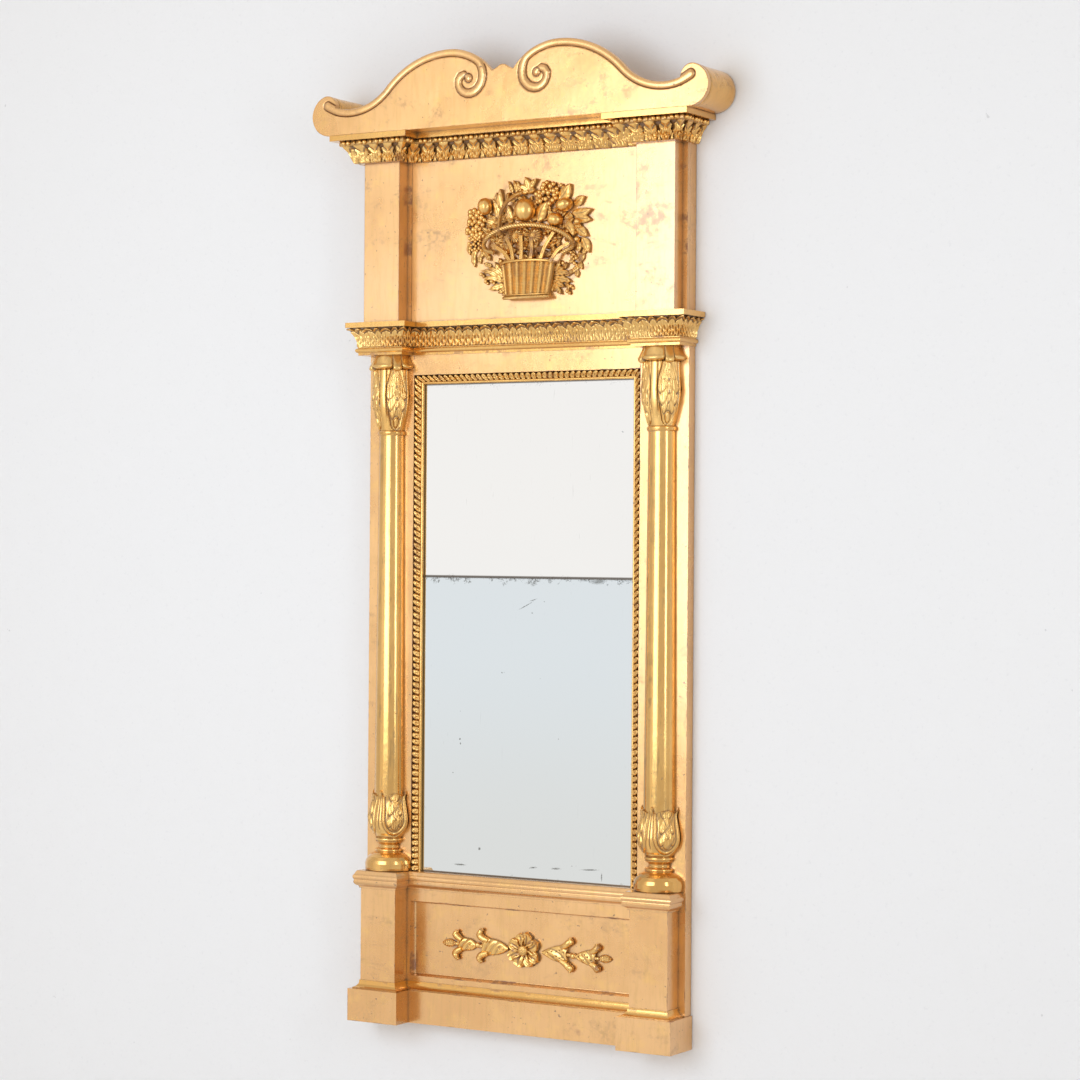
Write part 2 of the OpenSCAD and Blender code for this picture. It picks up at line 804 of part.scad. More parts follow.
// The woven body, the spreading rim and the heap of fruit and leaves, as plain masses
module fruit_basket() {
    foot_w = 42;
    color("gold")
        translate([basket_x, 0, basket_z]) {
            standing(y_attic - 14, y_attic)
                union() {
                    polygon([
                        [-foot_w, -104], [foot_w, -104], [54, -50], [76, 0], [-76, 0], [-54, -50]
                    ]);
                    for (lump = [[-70, -30, 42], [70, -34, 42], [-72, 20, 44], [70, 22, 46], [0, 40, 58]])
                        translate([lump[0], lump[1]]) circle(r = lump[2], $fn = 40);
                }
            difference() {
                for (fruit = [[-2, 42, 22], [48, 36, 18], [-46, 30, 18]])
                    translate([fruit[0], y_attic - basket_t + fruit[2], fruit[1]])
                        sphere(r = fruit[2], $fn = 40);
                slab([-150, 150], [y_attic - 14, 60], [-150, 150]);
            }
            difference() {
                translate([0, y_attic, -104])
                    cylinder(h = 54, r = foot_w - 16, $fn = 48);
                slab([-150, 150], [y_attic - 14, 60], [-150, 150]);
            }
        }
}

// ---------- cornice ----------

module cornice_beam() {
    color("goldenrod") slab([-half_w, half_w], [y_beam, 0], [z_cornice, z_cornice_fillet]);
}

module cornice_blocks() {
    color("goldenrod")
        both() slab([block_inner, half_w], [y_cornice_block, y_beam], [z_cornice, z_cornice_fillet]);
}

module cornice_run(z0, h, profile) {
    color("gold") {
        both()
            corner_run([block_inner, half_w], y_cornice_block, y_beam, z0, h, profile);
        middle_run([block_inner, half_w], y_cornice_block, y_beam, z0, h, profile);
    }
}

module cornice_leaf_band() { cornice_run(z_cornice, cornice_band_h, cornice_band_profile); }
module cornice_pearls() { cornice_run(z_pearl, pearl_h, pearl_profile); }

module cornice_fillet() {
    over = cornice_fillet_over;
    inner = block_inner - over;
    middle = inner - mitre_gap;
    color("gold") {
        both()
            slab([inner, half_w + over], [y_cornice_block - over, 0], [z_cornice_fillet, z_crest]);
        slab([-middle, middle], [y_beam - over, 0], [z_cornice_fillet, z_crest]);
    }
}

// ---------- crest ----------

// The scroll at one end: the roll, and the small curl that closes it
roll_end = concat(
    arc(roll_x, roll_z, roll_r, -90, curl_angle, 20),
    arc(curl_x, curl_z, curl_r, curl_angle, curl_end, 14)
);
dip_start = -90 + asin((roll_inner_x - dip_x) / dip_r);
crest_half = concat(
    roll_end,
    arc(dip_x, dip_z, dip_r, dip_start, -180 + flank_angle, 14),
    arc(swell_x, swell_z, swell_r_outer, flank_angle, 90, 12),
    arc(swell_x, inner_z, swell_r_inner, 90, notch_angle, 10),
    [[notch_x * 0.6, notch_z + peak_rise * 0.4], [notch_x * 0.25, notch_z + peak_rise * 0.9]]
);

module crest_board() {
    color("gold")
        standing(y_crest, y_crest_back)
            polygon(concat(crest_half, [[0, notch_z + peak_rise]], flip(crest_half)));
}

module crest_roll() {
    standing(y_crest_back, 0)
        polygon(concat(roll_end, [[roll_inner_x, z_crest]]));
}

module crest_roll_left() { color("gold") left() crest_roll(); }
module crest_roll_right() { color("gold") crest_roll(); }

// Closes the hollow behind the crest board, and is seen from below in the cornice's recess
module crest_base_board() {
    color("gold")
        slab([-roll_inner_x, roll_inner_x], [y_crest_back, 0], [z_crest, z_crest + crest_base_t]);
}

// Three wedges that brace the crest board from behind
module crest_glue_blocks() {
    block_w = 60;
    block_side = 32;
    z_foot = z_crest + crest_base_t;
    color("burlywood")
        for (x = [-swell_x - 60, 0, swell_x + 60])
            translate([x - block_w / 2, 0, 0])
                rotate([90, 0, 90])
                    linear_extrude(block_w)
                        polygon([
                            [y_crest_back, z_foot], [y_crest_back + block_side, z_foot],
                            [y_crest_back, z_foot + block_side]
                        ]);
}

// ---------- hangers ----------

module hanger_recess() {
    slab(
        [hanger_x - recess_w / 2, hanger_x + recess_w / 2],
        [-recess_d, 1],
        [hanger_z - recess_h / 2, hanger_z + recess_h / 2]
    );
    for (up = [-1, 1])
        translate([hanger_x, -recess_d + eps, hanger_z + up * screw_up])
            rotate([90, 0, 0]) cylinder(h = screw_l - plate_t + eps, r = screw_r, $fn = 24);
    staple_legs(eye_wire_r);
}

// An iron plate with two screw holes, and two that let the staple through
module hanger_plate() {
    difference() {
        slab(
            [hanger_x - plate_w / 2, hanger_x + plate_w / 2],
            [-recess_d, -recess_d + plate_t],
            [hanger_z - plate_h / 2, hanger_z + plate_h / 2]
        );
        for (up = [-1, 1])
            translate([hanger_x, 0, hanger_z + up * screw_up])
                rotate([90, 0, 0]) cylinder(h = recess_d + 1, r = screw_r, $fn = 24);
        staple_legs(eye_wire_r + staple_gap);
    }
}

// The two legs of the staple, driven through the plate into the stile
module staple_legs(r) {
    for (up = [-1, 1])
        translate([hanger_x, ring_y, hanger_z + up * eye_r])
            rotate([90, 0, 0]) cylinder(h = recess_d + ring_y + staple_l, r = r, $fn = 24);
}

// A staple of bent wire, whose bow holds the ring
module staple() {
    translate([hanger_x, ring_y, hanger_z])
        rotate([0, 90, 0])
            rotate_extrude(angle = 180, $fn = 48)
                translate([eye_r, 0]) circle(r = eye_wire_r, $fn = 24);
    staple_legs(eye_wire_r);
}

module hanger_plates() { color("dimgray") both() hanger_plate(); }
module hanger_staples() { color("dimgray") both() staple(); }

module hanger_screw() {
    rotate([90, 0, 0]) cylinder(h = screw_l, r = screw_r, $fn = 24);
    translate([0, screw_head_h, 0])
        rotate([90, 0, 0]) cylinder(h = screw_head_h, r1 = screw_head_r - 1, r2 = screw_head_r, $fn = 24);
}

module hanger_screws() {
    color("gray")
        both()
            for (up = [-1, 1])
                translate([hanger_x, -recess_d + plate_t, hanger_z + up * screw_up]) hanger_screw();
}

module hanging_ring() {
    translate([hanger_x, ring_y, hanger_z - ring_r])
        rotate([90, 0, 0])
            rotate_extrude($fn = 64)
                translate([ring_r, 0]) circle(r = ring_wire_r, $fn = 24);
}

module hanging_ring_left() { color("darkslategray") left() hanging_ring(); }
module hanging_ring_right() { color("darkslategray") hanging_ring(); }

stile_left();
stile_right();
base_rail();
sill_rail();
frieze_rail();
top_rail();
plinth_left();
plinth_right();
plinth_board();
base_moulding();
pedestal_left();
pedestal_right();
pedestal_cap_left();
pedestal_cap_right();
ledge_moulding();
apron_panel();
apron_lip();
rosette();
garland_left();
garland_right();
column_base_left();
column_base_right();
lotus_cup_left();
lotus_cup_right();
column_shaft_left();
column_shaft_right();
column_collars();
capital_left();
capital_right();
sight_moulding_left();
sight_moulding_right();
sight_moulding_top();
upper_glass();
lower_glass();
backboards();
backboard_sprigs();
entablature_blocks();
entablature_astragal();
entablature_leaf_band();
entablature_fillet();
attic_board();
attic_side_fillets();
attic_pilaster_left();
attic_pilaster_right();
fruit_basket();
cornice_beam();
cornice_blocks();
cornice_leaf_band();
cornice_pearls();
cornice_fillet();
crest_board();
crest_base_board();
crest_roll_left();
crest_roll_right();
crest_glue_blocks();
hanger_plates();
hanger_staples();
hanger_screws();
hanging_ring_left();
hanging_ring_right();
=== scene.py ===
import math
from functools import partialmethod

import bmesh
import bpy
import numpy as np
from mathutils import Matrix, Vector


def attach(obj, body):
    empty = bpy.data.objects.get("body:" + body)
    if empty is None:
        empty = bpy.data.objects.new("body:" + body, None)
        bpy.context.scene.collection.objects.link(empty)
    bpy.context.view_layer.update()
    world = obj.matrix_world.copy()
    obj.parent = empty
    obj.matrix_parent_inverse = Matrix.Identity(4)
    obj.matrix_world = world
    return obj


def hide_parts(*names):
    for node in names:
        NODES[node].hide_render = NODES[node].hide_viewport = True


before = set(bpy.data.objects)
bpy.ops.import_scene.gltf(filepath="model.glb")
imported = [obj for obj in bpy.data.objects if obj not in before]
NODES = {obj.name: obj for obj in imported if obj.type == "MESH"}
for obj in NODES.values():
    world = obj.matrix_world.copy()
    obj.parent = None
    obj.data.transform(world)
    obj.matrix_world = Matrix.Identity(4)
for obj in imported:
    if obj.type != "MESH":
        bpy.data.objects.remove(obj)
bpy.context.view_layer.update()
MM = 0.001
TAU = 2 * math.pi


# ---------------------------------------------------------------- materials (lengths in metres)

class Tree:
    """The node tree of a new material or world, with short calls for the nodes used here."""

    def __init__(self, name, world=False):
        self.owner = (bpy.data.worlds if world else bpy.data.materials).new(name)
        self.owner.use_nodes = True
        self.tree = self.owner.node_tree
        self.tree.nodes.clear()
        self.surface = self.node("ShaderNodeOutputWorld" if world else "ShaderNodeOutputMaterial").inputs["Surface"]
        self.place = self.node("ShaderNodeTexCoord").outputs["Generated" if world else "Object"]

    def node(self, kind, **settings):
        made = self.tree.nodes.new(kind)
        for key, value in settings.items():
            setattr(made, key, value)
        return made

    def link(self, value, socket):
        """Links a socket to another, or sets its plain value; a colour may leave out its alpha."""
        if isinstance(value, bpy.types.NodeSocket):
            self.tree.links.new(value, socket)
            return
        if socket.type == "RGBA":
            value = (*value, 1.0)
        socket.default_value = value

    def fill(self, n, output=0, **values):
        """Sets a node's inputs by name (_ for a space) and gives back one of its outputs."""
        for key, value in values.items():
            self.link(value, n.inputs[key.replace("_", " ")])
        return n.outputs[output]

    def math(self, op, a, b=0.0, clamp=False):
        n = self.node("ShaderNodeMath", operation=op, use_clamp=clamp)
        self.link(a, n.inputs[0])
        self.link(b, n.inputs[1])
        return n.outputs[0]

    add, sub, mul = partialmethod(math, "ADD"), partialmethod(math, "SUBTRACT"), partialmethod(math, "MULTIPLY")
    most, size = partialmethod(math, "MAXIMUM"), partialmethod(math, "ABSOLUTE")

    def stretch(self, scale):
        return self.fill(self.node("ShaderNodeMapping"), Vector=self.place, Scale=scale)

    def noise(self, scale, detail=3.0, rough=0.55, where=None, distortion=0.0):
        return self.fill(self.node("ShaderNodeTexNoise"), Vector=where or self.place, Scale=scale, Detail=detail,
                         Roughness=rough, Distortion=distortion)

    def steps(self, value, low, high, a=0.0, b=1.0):
        """A smooth step from a to b as value goes from low to high."""
        return self.fill(self.node("ShaderNodeMapRange", clamp=True, interpolation_type="SMOOTHSTEP"), Value=value,
                         From_Min=low, From_Max=high, To_Min=a, To_Max=b)

    def mix(self, factor, a, b):
        n = self.node("ShaderNodeMix", data_type="RGBA", clamp_factor=True)
        self.link(factor, n.inputs["Factor"])
        self.link(a, n.inputs[6])
        self.link(b, n.inputs[7])
        return n.outputs[2]

    def blend(self, factor, a, b):
        n = self.node("ShaderNodeMix", data_type="FLOAT", clamp_factor=True)
        self.link(factor, n.inputs["Factor"])
        self.link(a, n.inputs[2])
        self.link(b, n.inputs[3])
        return n.outputs[0]

    def parts(self, vector):
        n = self.node("ShaderNodeSeparateXYZ")
        self.link(vector, n.inputs[0])
        return n.outputs

    def hollow(self, distance, inside=False):
        """1 in the open, falling to 0 in corners (or at outer edges, when inside)."""
        return self.fill(self.node("ShaderNodeAmbientOcclusion", samples=6, inside=inside), "AO", Distance=distance)

    def bump(self, height, strength, distance):
        return self.fill(self.node("ShaderNodeBump"), Strength=strength, Distance=distance, Height=height)

    def shader(self, **values):
        self.link(self.fill(self.node("ShaderNodeBsdfPrincipled"), **values), self.surface)
        return self.owner


PINE_LIGHT, PINE_DARK = (0.46, 0.29, 0.145), (0.25, 0.135, 0.058)


def pine_colour(t, along=2):
    """Old softwood: long grain along one axis, in two browns."""
    scale = [48.0, 48.0, 48.0]
    scale[along] = 1.8
    rings = t.noise(3.2, 4.0, 0.6, t.stretch(tuple(scale)), 0.6)
    fine = t.noise(34.0, 3.0, 0.7, t.stretch(tuple(scale)))
    dirt = t.noise(7.0, 4.0)
    wood = t.mix(t.steps(rings, 0.30, 0.64), PINE_DARK, PINE_LIGHT)
    wood = t.mix(t.steps(fine, 0.35, 0.7), wood, t.mix(0.45, wood, PINE_DARK))
    return t.mix(t.steps(dirt, 0.45, 0.75, 0.0, 0.5), wood, (0.12, 0.07, 0.035)), fine


def gilt(name, tone=(0.83, 0.47, 0.18), deep=(0.74, 0.395, 0.13), rough=0.36, spread=0.10, wear=1.0, grime_and_shade=1.0,
         reach=0.010, back=True, relief=False, coat=0.45, streaks=0.0, scuffs=0.0, lines=0.0, wood_to=(0.0, 0.0135)):
    """Gold leaf on red bole over gesso: laps, rubbed edges, grime and painted shade in the hollows, bare wood at the
    back.

    wood_to holds the distances from the wall between which faces turned to it change from wood to gold."""
    t = Tree(name)
    x, y, z = t.parts(t.place)[0:3]
    large, middle, fine = t.noise(5.0, 4.0, 0.6), t.noise(38.0, 4.0, 0.6), t.noise(420.0, 3.0, 0.6)
    gold = t.mix(t.steps(large, 0.36, 0.66), deep, tone)
    gold = t.mix(t.steps(middle, 0.50, 0.72, 0.0, 0.45), gold, (0.88, 0.51, 0.13))
    brushed = t.noise(7.0, 5.0, 0.7, t.stretch((22.0, 22.0, 2.5)))
    gold = t.mix(t.steps(brushed, 0.46, 0.66, 0.0, 0.30), gold, (0.60, 0.335, 0.085))
    laps = t.node("ShaderNodeTexBrick", offset=0.37, offset_frequency=2)
    upright = t.fill(t.node("ShaderNodeCombineXYZ"), X=t.add(x, t.mul(y, 0.7)), Y=z)
    t.fill(laps, Vector=upright, Scale=1.0, Mortar_Size=0.0016, Mortar_Smooth=0.7, Brick_Width=0.082,
           Row_Height=0.076, Color1=(0.0, 0.0, 0.0), Color2=(1.0, 1.0, 1.0), Mortar=(0.5, 0.5, 0.5))
    gold = t.mix(t.mul(laps.outputs["Color"], 0.14), gold, deep)
    lap_line = t.mul(laps.outputs["Fac"], t.steps(middle, 0.46, 0.62, 0.0, 0.14))
    gold = t.mix(lap_line, gold, (0.92, 0.57, 0.16))
    hollow = t.hollow(reach)
    edge = t.hollow(0.0022, True)
    # Hollows get grime and painted shade; carved pieces are hollow nearly everywhere, so only their deepest places get
    # it
    in_hollow = t.steps(t.add(hollow, t.mul(t.sub(middle, 0.5), 0.5)),
                        *((0.08, 0.46) if relief else (0.22, 0.74)), 1.0, 0.0)
    soil_and_shade = t.mul(in_hollow, 0.93 * grime_and_shade, clamp=True)
    # Carvings also take their cavity, which is painted shade in the deepest cuts
    if relief:
        cavity = t.node("ShaderNodeAttribute", attribute_name="cavity", attribute_type="GEOMETRY")
        soil_and_shade = t.most(soil_and_shade, t.mul(t.steps(cavity.outputs["Fac"], 0.10, 0.95), 0.92 * grime_and_shade))
    rub = t.mul(t.steps(edge, 0.62, 0.9, 1.0, 0.0), t.steps(middle, 0.50, 0.66))
    rub = t.mul(rub, 0.75 * wear, clamp=True)
    if lines:
        rub = t.most(rub, t.mul(t.steps(edge, 0.58, 0.80, 1.0, 0.0), lines))
    if streaks:
        # Darker vertical streaks: a painted reflection of dark bands along the shafts
        long = t.noise(10.0, 5.0, 0.7, t.stretch((14.0, 14.0, 1.0)))
        painted_reflection_streaks = t.mul(t.steps(long, 0.50, 0.62), t.steps(middle, 0.44, 0.60))
        gold = t.mix(t.mul(painted_reflection_streaks, 0.75 * streaks), gold, (0.42, 0.245, 0.065))
    scuff = 0.0
    if scuffs:
        smear = t.noise(8.0, 6.0, 0.72, t.stretch((1.0, 1.0, 1.7)), 0.5)
        scuff = t.mul(t.steps(smear, 0.53, 0.66), t.steps(t.noise(75.0, 4.0, 0.7), 0.38, 0.62))
        scuff = t.mul(scuff, scuffs)
        gold = t.mix(scuff, gold, (0.42, 0.22, 0.07))
    patches = t.mul(t.steps(t.noise(11.0, 5.0, 0.7), 0.63, 0.74), t.steps(middle, 0.42, 0.62))
    rub = t.most(rub, t.mul(patches, 0.42 * wear))
    specks = t.mul(t.steps(t.noise(170.0, 2.0, 0.5), 0.70, 0.76), 0.55 * wear)
    bole = t.mix(fine, (0.23, 0.075, 0.028), (0.34, 0.13, 0.05))
    colour = t.mix(rub, gold, bole)
    colour = t.mix(specks, colour, (0.13, 0.055, 0.022))
    # Hollows go dark brown: grime and painted shade
    colour = t.mix(soil_and_shade, colour, t.mix(middle, (0.07, 0.028, 0.008), (0.20, 0.085, 0.024)))
    bare = t.most(t.most(rub, soil_and_shade), t.most(specks, t.mul(scuff, 0.7)))
    metal = t.sub(1.0, t.mul(bare, 0.85), clamp=True)
    gloss = t.steps(large, 0.3, 0.7, rough - spread / 2, rough + spread / 2)
    gloss = t.add(gloss, t.mul(t.sub(middle, 0.5), 0.10))
    gloss = t.add(gloss, t.mul(bare, 0.30), clamp=True)
    if back:
        wood = pine_colour(t)[0]
        normal = t.parts(t.node("ShaderNodeNewGeometry").outputs["True Normal"])[1]
        behind = t.mul(t.steps(normal, 0.6, 0.8), t.steps(t.mul(y, -1.0), *wood_to, 1.0, 0.0))
        colour = t.mix(behind, colour, wood)
        metal = t.mul(metal, t.sub(1.0, behind))
        gloss = t.blend(behind, gloss, 0.8)
    height = t.sub(t.add(t.noise(26.0, 3.0), t.mul(fine, 0.10)), t.mul(bare, 0.25))
    normal = t.bump(height, 0.35, 0.0012)
    return t.shader(Base_Color=colour, Metallic=metal, Roughness=gloss, Normal=normal, Coat_Weight=coat,
                    Coat_Roughness=min(rough, 0.15), Coat_IOR=2.1)


def pine(name, along=2):
    t = Tree(name)
    colour, grain = pine_colour(t, along)
    # Corners and recesses go dark: painted shade
    hollow = t.hollow(0.02)
    colour = t.mix(t.steps(hollow, 0.2, 0.8, 0.75, 0.0), colour, (0.06, 0.035, 0.018))
    saw = t.noise(60.0, 2.0, 0.5, t.stretch((1.0, 1.0, 9.0) if along == 2 else (9.0, 1.0, 1.0)))
    height = t.add(grain, t.mul(saw, 0.5))
    return t.shader(Base_Color=colour, Roughness=t.steps(grain, 0.3, 0.7, 0.72, 0.88),
                    Normal=t.bump(height, 0.45, 0.0008))


def iron(name):
    t = Tree(name)
    rust, pits = t.noise(90.0, 5.0, 0.65), t.noise(700.0, 3.0)
    edge = t.hollow(0.0015, True)
    colour = t.mix(t.steps(rust, 0.45, 0.65), (0.045, 0.040, 0.037), (0.17, 0.065, 0.026))
    colour = t.mix(t.mul(t.steps(edge, 0.6, 0.9, 1.0, 0.0), 0.6), colour, (0.20, 0.18, 0.165))
    metal = t.steps(rust, 0.45, 0.65, 0.9, 0.15)
    return t.shader(Base_Color=colour, Metallic=metal, Roughness=t.steps(rust, 0.4, 0.7, 0.42, 0.85),
                    Normal=t.bump(t.add(rust, t.mul(pits, 0.3)), 0.5, 0.0006))


def mirror(name, tint, foot_tint, low_z, high_z, frayed, marks=()):
    """Old silvered plate: greyer towards its foot, silver lost along one edge, a few spots and fine scratches.

    marks holds, in millimetres, the middle (x, z), half length, half width and slope of each larger mark."""
    t = Tree(name)
    x, y, z = t.parts(t.place)[0:3]
    side = t.sub(0.2069, t.size(x))
    low = t.sub(z, low_z)
    high = t.sub(high_z, z)
    near = t.math("MINIMUM", side, t.math("MINIMUM", low, high))
    cloud, grains = t.noise(22.0, 5.0, 0.7), t.noise(420.0, 4.0, 0.7)
    # Ragged grey fraying hangs from the joint between the plates on the lower one; the other edges hardly show it
    hang = t.sub(t.mul(high, 120.0), t.mul(t.steps(t.noise(60.0, 4.0, 0.75), 0.44, 0.72), 1.7))
    fray = t.mul(t.steps(hang, -0.2, 0.5, frayed, 0.0), t.steps(grains, 0.40, 0.60))
    rim = t.sub(t.mul(near, 190.0), t.mul(t.steps(cloud, 0.50, 0.75), 1.8))
    rim = t.mul(t.steps(rim, -0.4, 0.5, 0.8, 0.0), t.steps(grains, 0.50, 0.64))
    spots = t.mul(t.steps(t.noise(64.0, 2.0, 0.5), 0.775, 0.79), 0.8)
    for at_x, at_z, half_long, half_wide, slope in marks:
        across = t.sub(x, at_x * MM)
        up = t.sub(t.sub(z, at_z * MM), t.mul(across, slope))
        across, up = t.math("DIVIDE", across, half_long * MM), t.math("DIVIDE", up, half_wide * MM)
        far = t.add(t.mul(across, across), t.mul(up, up))
        far = t.add(far, t.mul(t.sub(t.noise(900.0, 2.0), 0.46), 6.0))
        spots = t.most(spots, t.steps(far, 0.5, 1.3, 0.9, 0.0))
    fox = t.most(t.most(fray, rim), spots, clamp=True)
    colour = t.mix(t.steps(low, 0.0, 0.42), foot_tint, tint)
    colour = t.mix(t.steps(t.noise(3.0, 4.0), 0.40, 0.75, 0.0, 0.10), colour, (0.78, 0.79, 0.78))
    scratch = t.noise(9.0, 2.0, 0.5, t.stretch((60.0, 1.0, 2.4)), 0.8)
    colour = t.mix(t.steps(scratch, 0.735, 0.76, 0.0, 0.25), colour, (0.42, 0.43, 0.42))
    colour = t.mix(fox, colour, (0.14, 0.14, 0.125))
    # A dark brown line along the glass's edges: a painted reflection of the shaded rebate
    colour = t.mix(t.steps(near, 0.0012, 0.0030, 0.85, 0.0), colour, (0.07, 0.045, 0.025))
    rough = t.add(t.steps(cloud, 0.4, 0.8, 0.010, 0.035), t.mul(fox, 0.25))
    metal = t.sub(1.0, t.mul(fox, 0.7))
    ripple = t.bump(t.noise(2.2, 1.0, 0.4), 0.08, 0.002)
    return t.shader(Base_Color=colour, Metallic=metal, Roughness=rough, Normal=ripple, Coat_Weight=0.2,
                    Coat_Roughness=0.01)


GLOSSY, GLOSSY_DEEP = (0.84, 0.47, 0.12), (0.75, 0.385, 0.08)
PALE, PALE_DEEP = (0.94, 0.58, 0.185), (0.84, 0.465, 0.12)
SATIN = gilt("gilt_satin", rough=0.28, grime_and_shade=0.8, wear=1.3, coat=0.6, scuffs=0.45)
ATTIC = gilt("gilt_attic", rough=0.30, grime_and_shade=0.8, wear=1.3, coat=0.7, scuffs=0.7, lines=0.7, wood_to=(0.024, 0.0275))
BURNISHED = gilt("gilt_burnished", GLOSSY, GLOSSY_DEEP, rough=0.17, spread=0.06, wear=0.8, coat=0.4)
SHAFT = gilt("gilt_shaft", (0.88, 0.50, 0.13), (0.75, 0.40, 0.08), rough=0.17, spread=0.05, wear=0.8, coat=0.5,
             streaks=0.8)
CARVED = gilt("gilt_carved", PALE, PALE_DEEP, rough=0.27, reach=0.005, relief=True, coat=0.25)
PINE = pine("bare_pine")
PINE_ACROSS = pine("bare_pine_across", 0)
IRON = iron("wrought_iron")
UPPER = mirror("upper_mirror", (0.89, 0.875, 0.855), (0.89, 0.875, 0.85), 0.7648, 1.0948, 0.12)
LOWER = mirror("lower_mirror", (0.715, 0.765, 0.79), (0.70, 0.715, 0.70), 0.2575, 0.7648, 1.0,
               [(-130.0, 273.4, 11.0, 1.6, 0.0), (16.0, 277.5, 7.0, 1.3, 0.1), (61.0, 278.7, 9.0, 1.6, 0.05),
                (126.0, 280.7, 16.0, 1.2, 0.05), (149.0, 269.6, 1.2, 7.0, 0.0), (-2.0, 717.0, 13.0, 1.0, 0.5),
                (13.0, 727.0, 7.0, 0.9, 0.3), (139.0, 759.5, 13.0, 4.0, 0.1)])

BURNISHED_NODES = ("column_base", "column_collars", "base_moulding", "entablature_fillet", "cornice_fillet",
                   "entablature_astragal", "crest_roll")
for name, node in NODES.items():
    if name in ("backboards", "crest_glue_blocks"):
        made = PINE_ACROSS if name == "backboards" else PINE
    elif name in ("backboard_sprigs", "hanger_plates", "hanger_staples", "hanger_screws") or "ring" in name:
        made = IRON
    elif name == "upper_glass":
        made = UPPER
    elif name == "lower_glass":
        made = LOWER
    elif name.startswith("column_shaft"):
        made = SHAFT
    elif name == "attic_board" or name.startswith("attic_pilaster"):
        made = ATTIC
    elif name.startswith(BURNISHED_NODES):
        made = BURNISHED
    else:
        made = SATIN
    for s in node.material_slots:
        s.material = made
    if not node.material_slots:
        node.data.materials.append(made)


# ---------------------------------------------------------------- carving kit (lengths in millimetres)

BURIED = 0.4    # how far carving reaches into the board behind it


def smooth(x):
    """A smooth step from 0 to 1 as x goes from 0 to 1."""
    x = np.clip(x, 0.0, 1.0)
    return x * x * (3.0 - 2.0 * x)


def dome(x, power=0.5):
    """A rounded rise between -1 and 1."""
    return np.clip(1.0 - x * x, 0.0, 1.0) ** power


def peak(x, width):
    """A narrow rise at 0."""
    return np.exp(-((x / width) ** 2))


